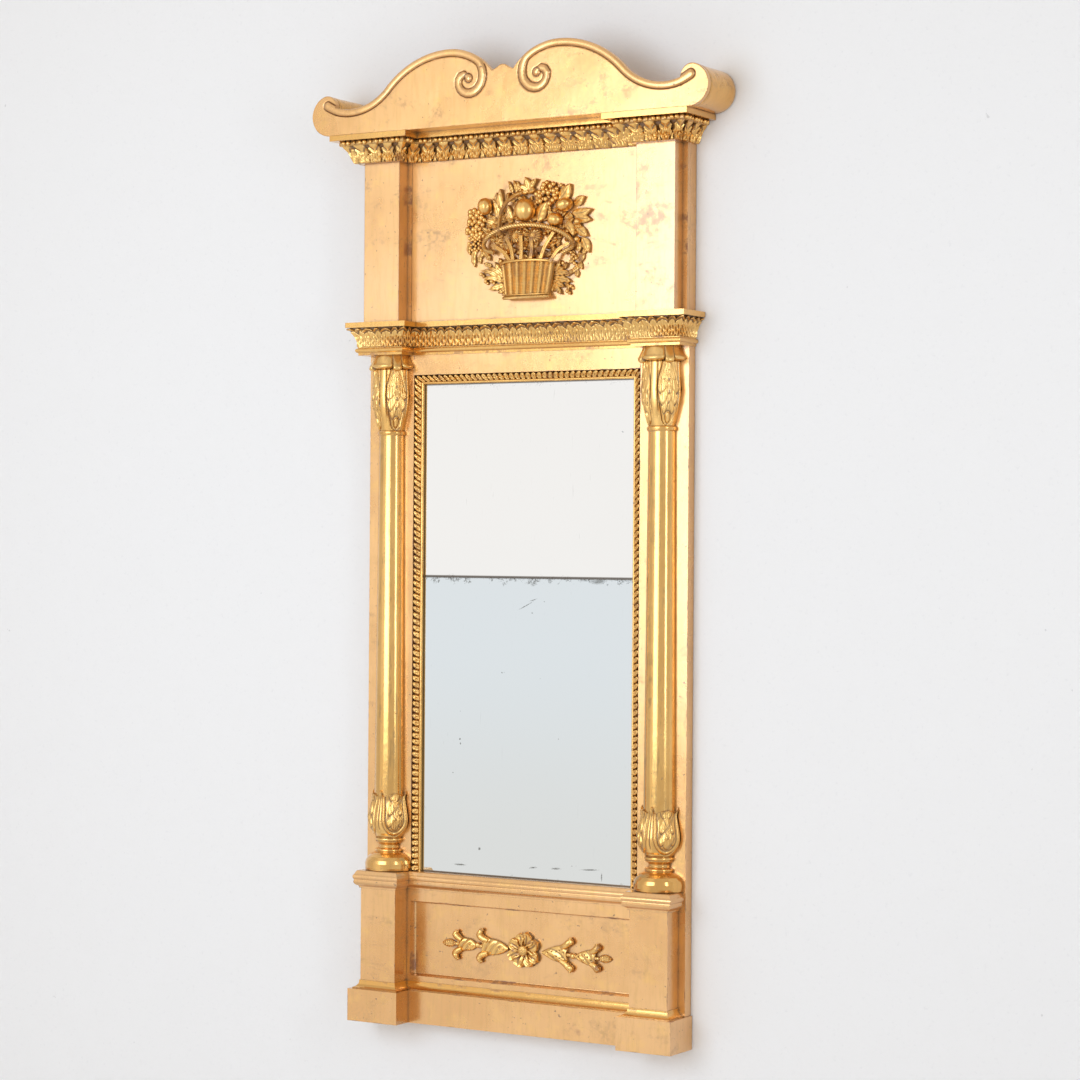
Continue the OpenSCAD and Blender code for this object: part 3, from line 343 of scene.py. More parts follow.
class Carving:
    """Closed shells gathered into one mesh. Cavity is 1 in the deepest cuts and darkens them in the material as painted
    shade.
    """

    def __init__(self):
        self.points, self.cavity, self.faces, self.count = [], [], [], 0

    def add(self, points, faces, cavity):
        self.points.append(points)
        self.cavity.append(cavity)
        self.faces += [group + self.count for group in faces]
        self.count += len(points)

    @staticmethod
    def cells(ids):
        return np.stack([ids[:-1, :-1], ids[:-1, 1:], ids[1:, 1:], ids[1:, :-1]], -1).reshape(-1, 4)

    @staticmethod
    def border(ids):
        return np.concatenate([ids[0, :-1], ids[:-1, -1], ids[-1, :0:-1], ids[:0:-1, 0]])

    def slab(self, front, back, cavity):
        """A closed shell between two grids of points."""
        rows, columns = front.shape[:2]
        ids = np.arange(rows * columns).reshape(rows, columns)
        far = ids + rows * columns
        edge = self.border(ids)
        after = np.roll(edge, -1)
        walls = np.stack([after, edge, edge + rows * columns, after + rows * columns], -1)
        cavity = np.broadcast_to(cavity, (rows, columns)).ravel()
        self.add(np.concatenate([front.reshape(-1, 3), back.reshape(-1, 3)]),
                 [self.cells(ids), self.cells(far)[:, ::-1], walls], np.concatenate([cavity, cavity]))

    def relief(self, front, back_y, cavity):
        """A closed shell from a carved front to one flat face behind it."""
        rows, columns = front.shape[:2]
        ids = np.arange(rows * columns).reshape(rows, columns)
        edge = self.border(ids)
        n = len(edge)
        behind = front.reshape(-1, 3)[edge].copy()
        behind[:, 1] = back_y
        far = rows * columns + np.arange(n)
        walls = np.stack([np.roll(edge, -1), edge, far, np.roll(far, -1)], -1)
        cavity = np.broadcast_to(cavity, (rows, columns)).ravel()
        self.add(np.concatenate([front.reshape(-1, 3), behind]), [self.cells(ids), walls, far[None, :]],
                 np.concatenate([cavity, np.zeros(n)]))

    def hoops(self, rings, cavity):
        """A closed body through a stack of closed rings, with a fan of triangles at each end."""
        n, m = rings.shape[:2]
        ids = np.arange(n * m).reshape(n, m)
        wrap = np.concatenate([ids, ids[:, :1]], 1)
        ends = np.array([rings[0].mean(0), rings[-1].mean(0)])
        caps = [np.stack([np.full(m, tip), np.roll(ring, -1), ring], -1)
                for ring, tip in ((ids[0], n * m), (ids[-1][::-1], n * m + 1))]
        cavity = np.broadcast_to(cavity, (n, m))
        self.add(np.concatenate([rings.reshape(-1, 3), ends]), [self.cells(wrap), *caps],
                 np.concatenate([cavity.ravel(), [cavity[0].mean(), cavity[-1].mean()]]))

    def ball(self, at, radii, turn=0.0, rows=14, around=20, crease=0.0):
        """An egg shape, turned in the plane of the wall; crease draws a furrow down its front."""
        a = np.linspace(0, math.pi, rows + 2)[1:-1, None]
        b = np.linspace(0, TAU, around, endpoint=False)[None, :]
        x, y, z = np.sin(a) * np.cos(b), np.sin(a) * np.sin(b), np.cos(a) + 0 * b
        pull = 1.0 - crease * peak(x, 0.10) * (y < 0)
        x, y, z = x * radii[0] * pull, y * radii[1] * pull, z * radii[2] * pull
        c, s = math.cos(turn), math.sin(turn)
        rings = np.stack([at[0] + x * c - z * s, at[1] + y, at[2] + x * s + z * c], -1)
        self.hoops(rings, np.clip(1 - pull, 0, 1) * (3.0 if crease else 0.0))

    def cord(self, line, radius, sides, lay):
        """A round or roped rod along a line of points; lay is the number of twists in its length."""
        n = len(line)
        radius = np.broadcast_to(radius, (n,))
        way = np.gradient(line, axis=0)
        way /= np.linalg.norm(way, axis=1)[:, None]
        side = np.cross(way, (0.0, 1.0, 0.0))
        side /= np.maximum(np.linalg.norm(side, axis=1), 1e-6)[:, None]
        front = np.cross(way, side)
        b = np.linspace(0, TAU, sides, endpoint=False)
        bulge, dark = np.ones((n, sides)), np.zeros((n, sides))
        if lay:
            twist = np.cos(3 * (b[None, :] - np.linspace(0, TAU * lay / 3, n)[:, None]))
            bulge, dark = 1.0 + 0.20 * twist, smooth(-twist - 0.2)
        r = radius[:, None] * bulge
        around = side[:, None] * (np.cos(b) * r)[..., None] + front[:, None] * (np.sin(b) * r)[..., None]
        self.hoops(line[:, None] + around, dark)

    def make(self, name, material, node, sharp, flip=False):
        """Turns the shells into one object that replaces a node; sharp is the least angle of a sharp edge."""
        points = np.concatenate(self.points) * MM
        if flip:
            points = points * (-1.0, 1.0, 1.0)
        loops = np.concatenate([f.ravel() for f in self.faces])
        sizes = np.concatenate([np.full(len(f), f.shape[1]) for f in self.faces])
        mesh = bpy.data.meshes.new(name)
        mesh.vertices.add(len(points))
        mesh.vertices.foreach_set("co", points.ravel())
        mesh.loops.add(len(loops))
        mesh.loops.foreach_set("vertex_index", loops)
        mesh.polygons.add(len(sizes))
        mesh.polygons.foreach_set("loop_start", np.concatenate([[0], np.cumsum(sizes)[:-1]]))
        mesh.update(calc_edges=True)
        mesh.attributes.new("cavity", "FLOAT", "POINT").data.foreach_set(
            "value", np.clip(np.concatenate(self.cavity), 0, 1))
        tidy = bmesh.new()
        tidy.from_mesh(mesh)
        bmesh.ops.recalc_face_normals(tidy, faces=tidy.faces)
        tidy.to_mesh(mesh)
        tidy.free()
        mesh.polygons.foreach_set("use_smooth", np.ones(len(mesh.polygons), bool))
        mesh.set_sharp_from_angle(angle=math.radians(sharp))
        mesh.materials.append(material)
        obj = bpy.data.objects.new(name, mesh)
        bpy.context.scene.collection.objects.link(obj)
        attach(obj, "frame")
        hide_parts(node)

    def make_side(self, name, material, node, flip, sharp=55):
        """The piece for one side: shells are shaped for the right, and mirrored for the left."""
        side = "_left" if flip else "_right"
        self.make(name + side, material, node + side, sharp, flip)


def mitred(path):
    """A bent path's points, the way along and the length of each stretch, and the mitre direction at each point."""
    path = np.array(path, float)
    way = np.diff(path, axis=0)
    length = np.hypot(way[:, 0], way[:, 1])
    normal = np.stack([way[:, 1], -way[:, 0]], -1) / length[:, None]
    return path, way, length, np.vstack([normal[:1], normal[:-1] + normal[1:], normal[-1:]])


class Run:
    """The columns of a moulding along a bent path in one plane, mitred at its corners.

    base and out give, for each column, where it starts and which way it projects. u goes from -1 to 1 across
    each leaf, and k counts the leaves."""

    def __init__(self, path, leaves, step, centred=True):
        path, way, length, corner = mitred(path)
        base, out, u, k = [], [], [], []
        for i, count in enumerate(leaves):
            s = np.linspace(0, 1, max(2, round(length[i] / step)) + 1)[int(i > 0):]
            base.append(path[i] + way[i] * s[:, None])
            out.append(corner[i] + (corner[i + 1] - corner[i]) * s[:, None])
            place = s * count + (0.5 if centred else 0.0)
            u.append(2 * (place - np.floor(place)) - 1)
            k.append(np.floor(place) + 37 * i)
        self.base, self.out = np.concatenate(base), np.concatenate(out)
        self.u, self.k = np.concatenate(u)[:, None], np.concatenate(k)[:, None]
        self.starts = [0, *np.cumsum([len(part) for part in base])]

    def keep(self, i):
        """Keeps the columns of one stretch only, from mitre to mitre."""
        pick = slice(max(self.starts[i] - 1, 0), self.starts[i + 1])
        self.base, self.out, self.u, self.k = (v[pick] for v in (self.base, self.out, self.u, self.k))

    def plan(self, projection, height):
        """Points of a horizontal moulding from its projection and height, each columns x rows."""
        at = self.base[:, None] + self.out[:, None] * projection[..., None]
        return np.stack([at[..., 0], at[..., 1], np.broadcast_to(height, projection.shape)], -1)

    def face(self, inward, front):
        """Points of a moulding that lies against the wall: distance from the path, and Y."""
        at = self.base[:, None] + self.out[:, None] * inward[..., None]
        return np.stack([at[..., 0], np.broadcast_to(front, inward.shape), at[..., 1]], -1)


def block_path(y_front, y_behind, inner=226.0, outer=313.0, wall=0.0):
    half = [(inner, y_behind), (inner, y_front), (outer, y_front), (outer, wall)]
    return [(-x, y) for x, y in half[::-1]] + half


def vary(k, seed):
    """A number from -1 to 1 for each leaf, so that no two are cut quite alike."""
    return 2 * np.modf(np.abs(np.sin(k * 12.9898 + seed * 78.233)) * 437.585)[0] - 1


# ---------------------------------------------------------------- crest

CREST_FRONT, CREST_BACK, CREST_FOOT = -99.0, -90.3, 1520.5
# Circles of the crest's outline, as middle (x, z) and radius: the swell's two arcs, the hollow, the curl and the roll
SWELL_IN, SWELL_OUT, HOLLOW = (107.0, 1540.0, 110.0), (107.0, 1478.0, 172.0), (307.0, 1667.56, 103.56)
CURL, ROLL, ROLL_INNER = (355.1, 1570.2, 19.5), (350.3, 1555.5, 35.0), 335.66


def circle(x, shape, way=1.0):
    """Z of a circle's upper edge, or its lower edge where way is -1."""
    at_x, at_z, r = shape
    return at_z + way * np.sqrt(np.maximum(r ** 2 - (x - at_x) ** 2, 0.0))


def crest_top(x):
    x = np.abs(x)
    peaks = np.interp(x, (0.0, 5.1, 12.3, 20.5), (1616.95, 1616.05, 1611.55, 1607.95))
    return np.select([x < 20.5, x < 107.0, x < 231.83, x < ROLL_INNER, x < 361.1],
                     [peaks, circle(x, SWELL_IN), circle(x, SWELL_OUT), circle(x, HOLLOW, -1.0), circle(x, CURL)],
                     circle(x, ROLL))


def crest_low(x):
    x = np.abs(x)
    return np.where(x > ROLL[0], circle(x, ROLL, -1.0), CREST_FOOT)


def arc(cx, cz, r, start, end, n, width):
    a = np.radians(np.linspace(start, end, n))
    return [(cx + r * math.cos(t), cz + r * math.sin(t), width) for t in a]


# Middle line and half width of the rounded band: from the volute's eye, over the swell, to the hook in the roll
BAND = ([(66.5, 1598.5, 3.0), (70, 1602.4, 4.6), (76, 1604.2, 5.8), (82, 1602, 6.2), (86.2, 1596, 6.2),
         (86, 1588.5, 6.0), (82.5, 1581, 6.1), (77, 1576, 6.3), (70, 1573.2, 6.5), (62, 1573.0, 6.7), (54, 1575.3, 6.9),
         (47.5, 1580, 7.0), (42, 1586.5, 7.0), (39.3, 1594, 7.0), (38.4, 1602, 7.0), (39.4, 1610, 6.8),
         (41.7, 1616.5, 6.5), (45.6, 1623.4, 6.2)]
        + arc(107, 1540, 104, 122, 90, 12, 6.0) + arc(107, 1478, 166, 86, 43.47, 16, 6.0)
        + arc(307, 1667.56, 109.6, 220, 274, 22, 6.0)
        + [(326, 1560.1, 6.3), (335, 1563.0, 6.8), (344, 1567.3, 7.1), (353.2, 1572.2, 7.3)])


def along_line(x, z, line):
    """Distance from each point to the line, as a share of the line's half width there."""
    best = np.full(x.shape, 9.0)
    for (x0, z0, w0), (x1, z1, w1) in zip(line[:-1], line[1:]):
        dx, dz = x1 - x0, z1 - z0
        t = np.clip(((x - x0) * dx + (z - z0) * dz) / (dx * dx + dz * dz), 0, 1)
        best = np.minimum(best, np.hypot(x - x0 - t * dx, z - z0 - t * dz) / (w0 + (w1 - w0) * t))
    return best


def crest_board():
    """The front board: a rounded band and its cut, the volutes' eyes, and slightly worn edges."""
    half = np.concatenate([np.linspace(0, 335.3, 306), [335.6, 335.72, 336.0, 336.5, 337.2], np.linspace(338, 384, 44),
                           [384.5, 384.9, 385.12, 385.24]])
    x = np.concatenate([-half[:0:-1], half])[:, None]
    v = np.linspace(0, 1, 116)[None, :]
    low, high = crest_low(x), crest_top(x)
    z = low + (high - low) * v
    across = np.broadcast_to(np.abs(x), z.shape)
    q = along_line(across, z, BAND)
    inside = smooth((high - z - 1.5) / 3.5)
    eye = np.hypot(across - 66.3, z - 1598.2) / 6.3
    bead = 3.1 * dome(np.minimum(q, 1.0) ** 1.15)
    cut = peak(q - 1.09, 0.13) * inside * (eye > 1.0)
    knob = 3.2 * dome(np.minimum(eye, 1.0))
    ring = peak(eye - 1.16, 0.16)
    lift = np.maximum(bead, knob) - 1.5 * cut - 1.3 * ring * (knob <= 0)
    rim = smooth(1 - (high - z) / 1.6) * 0.8 + smooth(1 - (z - low) / 1.4) * 0.5
    wave = 0.16 * np.sin(across / 23.0 + 0.6) * np.sin(z / 17.0)
    front = np.stack([np.broadcast_to(x, z.shape), CREST_FRONT - lift + rim + wave * (q > 1.3), z], -1)
    carving = Carving()
    carving.relief(front, CREST_BACK, np.maximum(cut, ring * (knob <= 0)))
    carving.make("crest_front_board", CREST_GILT, "crest_board", 50)


def roll_outline(shrink):
    """The roll's outline in X and Z, from the crest's foot round to the curl's inner end."""
    a = np.radians(np.linspace(-90, 72, 40))
    b = np.radians(np.linspace(72, 185, 30))[1:]
    x, z = (np.concatenate([ROLL[i] + (ROLL[2] - shrink) * f(a), CURL[i] + (CURL[2] - shrink) * f(b)])
            for i, f in enumerate((np.cos, np.sin)))
    return np.stack([np.append(x, ROLL_INNER + shrink), np.append(z, CREST_FOOT + shrink)], -1)


def crest_roll(flip):
    """The barrel behind the scroll: turned slightly hollow, with a cut line and a bead behind the front board."""
    stations = [(-90.4, 0.25), (-88.6, 0.25), (-88.2, 1.1), (-87.2, 1.1), (-86.8, 0.1), (-84.4, 0.0), (-84.0, 0.9),
                (-83.2, 0.9), (-82.8, 0.35), (-70, 0.5), (-50, 0.55), (-30, 0.45), (-12, 0.3), (-3, 0.3), (-1, 1.2),
                (0, 2.4)]
    rings, dark = [], []
    for y, shrink in stations:
        line = roll_outline(shrink)
        rings.append(np.stack([line[:, 0], np.full(len(line), y), line[:, 1]], -1))
        dark.append(np.full(len(line), 0.9 if shrink in (1.1, 0.9) else 0.0))
    carving = Carving()
    carving.hoops(np.array(rings), np.array(dark))
    carving.make_side("crest_end_roll", ROLL_GILT, "crest_roll", flip, 35)


# ---------------------------------------------------------------- leaf bands, pearls and sight moulding

def broad_leaf(u, v, k):
    """Entablature: arched leaves with a thin rim rolled over a hollow, another leaf's tip between each pair,
    spreading folds above and short, uneven pleats below."""
    u = u * (1 + 0.04 * vary(k, 1)) + 0.02 * vary(k, 2)
    side = np.abs(u)
    arch = 0.95 - 0.25 * (side / 0.78) ** 2 + 0.015 * vary(k, 3)
    tip = 0.97 - 0.08 * ((1 - side) / 0.26) ** 2
    top = np.maximum(arch, tip)
    outside = smooth((v - top) / 0.03)
    rim = peak(v - top + 0.038, 0.030) * 1.9
    hollow = peak(v - top + 0.115, 0.042) * (1 - outside)
    crease = peak(arch - tip, 0.07) * smooth((v - 0.55) / 0.12)
    lower = smooth((0.64 - v) / 0.16)
    fan = np.cos(TAU * (1.6 * u / (0.50 + 0.55 * v) + 0.08 * vary(k, 4)))
    sway = 0.16 * np.sin(TAU * (1.6 * v + 0.5 * vary(k, 5)))
    pleat = np.cos(TAU * (3.0 * u + sway))
    dash = 0.5 + 0.5 * np.cos(TAU * (3.1 * v + 1.5 * u + 0.5 * vary(k, 10)))
    ridge = fan * (1 - lower) * 0.75 + pleat * lower * (0.75 + 0.75 * dash)
    foot = smooth(1 - v / 0.06)
    lift = (ridge + rim) * (1 - outside) - 2.0 * hollow - 1.3 * crease - 4.2 * outside - 0.7 * foot
    dark = np.maximum.reduce([outside * 0.95, hollow * 0.95, crease * 0.8, smooth((-ridge - 0.5) / 0.6) * 0.7,
                              foot * 0.3 + 0 * u])
    return lift, dark


def curled_leaf(u, v, k):
    """Cornice: lobed leaves that curl outwards at the top, over short pleats, with pointed leaflets between them."""
    u = u * (1 + 0.05 * vary(k, 6)) + 0.03 * vary(k, 7)
    side = np.abs(u)
    phase = TAU * (2.2 * v - 0.9 * side + 0.15 * vary(k, 8))
    width = 0.46 + 0.38 * np.sin(math.pi * np.clip(v * 0.82 + 0.10, 0, 1)) + 0.08 * np.cos(phase)
    outside = smooth((side - width) / 0.07)
    upper = smooth((v - 0.38) / 0.2)
    vein = peak(u, 0.085) * upper
    lobes = np.cos(phase + 1.2) * smooth(side / 0.2) * upper
    pleat = np.cos(TAU * (2.6 * u + 0.18 * np.sin(TAU * (1.7 * v + 0.5 * vary(k, 9)))))
    dash = 0.5 + 0.5 * np.cos(TAU * (2.6 * v + 1.3 * u + 0.5 * vary(k, 11)))
    low = pleat * (1 - upper) * (0.7 + 0.7 * dash)
    tip = smooth((v - 0.76) / 0.2) * dome(np.minimum(side / 0.6, 1.0))
    dart_w = 0.27 * (1 - v / 0.80)
    dart = smooth((dart_w - (1 - side)) / 0.05) * (v < 0.8)
    second = peak(1 - side - 0.30 * v, 0.06) * smooth(v / 0.1) * smooth((0.55 - v) / 0.1)
    lift = (1 - outside) * (1.4 * lobes + 1.2 * low + 1.2 * vein + 1.9 * tip + 0.6) - 4.6 * outside
    lift = lift + 3.4 * np.maximum(dart, second)
    dark = np.maximum(outside * (1 - dart) * (1 - second), smooth((-lobes - 0.40) / 0.5) * (1 - outside) * 0.8)
    dark = np.maximum(dark, smooth((-low - 0.6) / 0.5) * 0.6)
    return lift, dark


ENTABLATURE_PATH, CORNICE_PATH = block_path(-56.0, -21.0), block_path(-66.0, -29.5)
BAND_BACK = -1.0    # a band starts this far behind the blocks' faces


def leaf_band(name, node, path, leaves, z0, profile, leaf, rows, step, low, high):
    """A band of leaves on a moulding's profile, kept between a least and a greatest projection."""
    run = Run(path, leaves, step)
    v = np.linspace(0, 1, rows)[None, :]
    profile = np.array(profile)
    height = v * profile[-1, 1]
    lift, dark = leaf(run.u, v, run.k)
    out = np.interp(height, profile[:, 1], profile[:, 0]) + np.clip(lift, -6, 2.4)
    out = np.clip(out, low, high)
    carving = Carving()
    carving.slab(run.plan(out, z0 + height), run.plan(np.full_like(out, BAND_BACK), z0 + height), dark)
    carving.make(name, CARVED, node, 60)


def pearl_row():
    """Pairs of pearls on a core darkened with painted shade, with a small bead between the pairs."""
    counts, foot, level, reach = (3, 4, 1, 13, 1, 4, 3), 1503.5, 1507.2, 24.3
    core = Run(CORNICE_PATH, counts, 6.0)
    profile = np.array([(19.0, 0.0), (21.5, 0.2), (22.3, 1.6), (22.3, 6.0), (21.0, 7.45)])
    out = np.broadcast_to(profile[:, 0], (len(core.base), len(profile)))
    rise = foot + np.broadcast_to(profile[:, 1], out.shape)
    carving = Carving()
    # The core's cavity of 0.5 is painted shade between the pearls
    carving.slab(core.plan(out, rise), core.plan(np.full_like(out, BAND_BACK), rise), 0.5)
    path, _, _, corner = mitred(CORNICE_PATH)
    line = path + reach * corner
    for a, b, pairs in zip(line[:-1], line[1:], counts):
        along = (b - a) / np.hypot(*(b - a))
        for j in range(pairs):
            for side in (-1, 1):
                at = a + (b - a) * (j + 0.5) / pairs + along * side * 4.5
                carving.ball((*at, level), (4.25, 4.25, 3.95), rows=9, around=14)
            if j:
                carving.ball((*(a + (b - a) * j / pairs), level), (2.1, 2.1, 3.4), rows=7, around=10)
    carving.make("cornice_pearl_row", CARVED, "cornice_pearls", 60)


def sight_leaf(u, w, k):
    """Small C-shaped shells, open towards the glass, with deep gaps at the outer edge. w is 0 there and 1 inside."""
    r = np.sqrt((u / 0.90) ** 2 + ((w - 0.60) / 0.60) ** 2)
    outside = smooth((r - 0.96) / 0.10)
    shell = peak(r - 0.76, 0.15) * smooth((0.95 - w) / 0.2)
    flute = np.cos(TAU * (1.5 * np.abs(u) - 0.5 * w + 0.1 * vary(k, 9))) * (r < 0.62) * smooth(w / 0.25)
    drill = peak(np.hypot((1 - np.abs(u)) * 5.5, (w - 0.86) * 11.0), 1.5)
    eye = peak(np.hypot(u * 4.5, (w - 0.62) * 6.0), 0.8)
    outer = smooth((0.66 - w) / 0.25)
    lift = 1.7 * shell + 0.5 * flute - outside * (6.4 * outer + 1.8) - 2.4 * drill - 1.3 * eye - 0.5
    dark = np.maximum.reduce([outside * (0.3 + 0.7 * outer), drill, eye * 0.8, smooth((-flute - 0.3) / 0.6) * 0.45])
    return lift, dark


def sight_moulding():
    """A row of small leaves and a bead beside the glass, in three lengths, cut to their mitres as in the CAD."""
    top, foot, inner, wide, row_w = 1110.5, 257.5, 222.6, 15.7, 11.3
    w = np.concatenate([np.linspace(0, row_w, 17), [11.5, 11.9, 12.6, 13.4, 14.4, 15.1, 15.5, wide, wide]])[None, :]
    level = np.interp(w, (0, 2.0, 5.0, 9.0, row_w, 11.5, 11.9, 12.6, 13.4, 14.4, 15.1, 15.5),
                      (10.2, 11.0, 10.9, 9.3, 7.6, 5.9, 6.3, 7.0, 7.2, 7.0, 6.4, 5.4))
    level[0, -1] = 0.0
    ground, skin, highest = -9.0, 0.01, 11.9
    on_row = smooth((row_w - w) / 0.3)
    for i, side in enumerate(("left", "top", "right")):
        run = Run([(-inner, foot), (-inner, top), (inner, top), (inner, foot)], (78, 40, 78), 0.8, centred=False)
        run.keep(i)
        lift, dark = sight_leaf(run.u, w / row_w, run.k)
        high = np.clip(level + lift * on_row, 0.0, highest)
        inward = np.broadcast_to(w, high.shape)
        carving = Carving()
        carving.slab(run.face(inward, ground - high), run.face(inward, ground + skin), dark * on_row)
        carving.make("sight_carving_" + side, SIGHT_GILT, "sight_moulding_" + side, 60)


CREST_GILT = gilt("gilt_crest", rough=0.29, relief=True, back=False, wear=1.3, scuffs=0.7)
ROLL_GILT = gilt("gilt_roll", GLOSSY, GLOSSY_DEEP, rough=0.22, relief=True, wear=1.3, coat=0.4, scuffs=0.6)
SIGHT_GILT = gilt("gilt_sight", PALE, PALE_DEEP, rough=0.26, relief=True, reach=0.004, coat=0.25)

crest_board()
crest_roll(False)
crest_roll(True)
leaf_band("entablature_leaves", "entablature_leaf_band", ENTABLATURE_PATH, (2, 3, 1, 12, 1, 3, 2), 1158.0,
          [(2, 0), (2.2, 6), (3.2, 12), (6, 19), (10, 25), (13.5, 29), (15.8, 32), (15.8, 33.5)],
          broad_leaf, 60, 0.7, 0.4, 16.6)
leaf_band("cornice_leaves", "cornice_leaf_band", CORNICE_PATH, (3, 4, 1, 14, 1, 4, 3), 1474.5,
          [(2.5, 0), (4.2, 1.5), (4.8, 4), (6.8, 10), (10, 18.5), (13.8, 23.5), (17, 29)],
          curled_leaf, 42, 0.8, 0.4, 19.5)
pearl_row()
sight_moulding()

# ---------------------------------------------------------------- fruit basket

BOARD_Y = -28.3


class Relief(Carving):
    """Carving that stands on an upright board, at ground (a Y value)."""

    def __init__(self, ground):
        super().__init__()
        self.ground = ground

    def rise(self, x, z, lift, dark):
        """Carving of a given height over points (x, z), with straight walls down into the board."""
        x, z, lift = np.broadcast_arrays(x, z, np.maximum(lift, 0.8))
        front = np.stack([x, self.ground - lift, z], -1)
        back = front.copy()
        back[..., 1] = self.ground + BURIED
        self.slab(front, back, dark)

    def boss(self, x, z, lift, dark, dark_edge):
        """Round carving: rings of points (x, z) from its edge to its middle, with a wall down into the board."""
        front = np.stack([x, self.ground - lift, z], -1)
        foot = front[:1].copy()
        foot[..., 1] = self.ground + BURIED
        self.hoops(np.concatenate([foot, front]), np.concatenate([np.full((1, dark.shape[1]), dark_edge), dark]))

    def leaf(self, base, tip, width, low, high, bend, lobes, veins=4, rows=20):
        """A leaf from base to tip, both (x, z): a furrow down its middle, side veins and rounded edges."""
        base, tip = np.array(base, float), np.array(tip, float)
        way = tip - base
        span = np.hypot(*way)
        side = np.array([-way[1], way[0]]) / span
        u = np.linspace(0, 1, rows)[:, None]
        v = np.linspace(-1, 1, 11)[None, :]
        wide = width * np.sin(math.pi * np.clip(u, 0.015, 0.985) ** 0.82) ** 0.75
        if lobes:
            wide = wide * (1 - 0.30 * (0.5 + 0.5 * np.cos(TAU * lobes * u + 0.6)) * smooth(u / 0.2))
        middle = base + way * u + side * (bend * span * np.sin(math.pi * u))
        flat = middle[:, None, :] + side * (wide * v)[..., None]
        body = (low + (high - low) * smooth(u / 0.8)) * (0.62 + 0.38 * dome(v * 0.97, 0.8))
        furrow = peak(v, 0.13) * (0.95 * smooth((1 - u) / 0.2))
        ribs = 0.20 * np.cos(TAU * (veins * u - 0.9 * np.abs(v))) * smooth(np.abs(v) / 0.3)
        cup = 0.0875 * high * (1 - np.abs(v)) * (1 - peak(v, 0.3))
        dark = peak(v, 0.13) * 0.7 + smooth((-ribs - 0.10) / 0.15) * 0.2 + smooth((np.abs(v) - 0.93) / 0.07) * 0.5
        self.rise(flat[..., 0], flat[..., 1], body - furrow + ribs - cup, np.clip(dark, 0, 1))

    def berries(self, places, r, high):
        """A bunch of berries, each a little nearer or further than its neighbours."""
        for i, (x, z) in enumerate(places):
            out = high + 1.3 * math.sin(i * 2.4)
            self.ball((x, self.ground - out, z), (r, r, r * 1.04), rows=9, around=14)

    def rope(self, line, r, high, lay, sides=10):
        """A roped rod through (x, z) points at a height above the board."""
        line = np.array(line, float)
        n = max(24, int(lay * 5))
        s = np.linspace(0, 1, len(line))
        t = np.linspace(0, 1, n)
        x, z = (curve(s, line[:, i], t) for i in (0, 1))
        out = curve(s, np.broadcast_to(high, (len(line),)), t)
        self.cord(np.stack([x, self.ground - out, z], -1), r, sides, lay)


def curve(s, values, t):
    """A smooth line through values, read off at t."""
    values = np.asarray(values, float)
    if len(values) < 3:
        return np.interp(t, s, values)
    slope = np.gradient(values, s)
    i = np.clip(np.searchsorted(s, t, "right") - 1, 0, len(s) - 2)
    h = s[i + 1] - s[i]
    q = (t - s[i]) / h
    return ((2 * q ** 3 - 3 * q ** 2 + 1) * values[i] + (q ** 3 - 2 * q ** 2 + q) * h * slope[i]
            + (3 * q ** 2 - 2 * q ** 3) * values[i + 1] + (q ** 3 - q ** 2) * h * slope[i + 1])


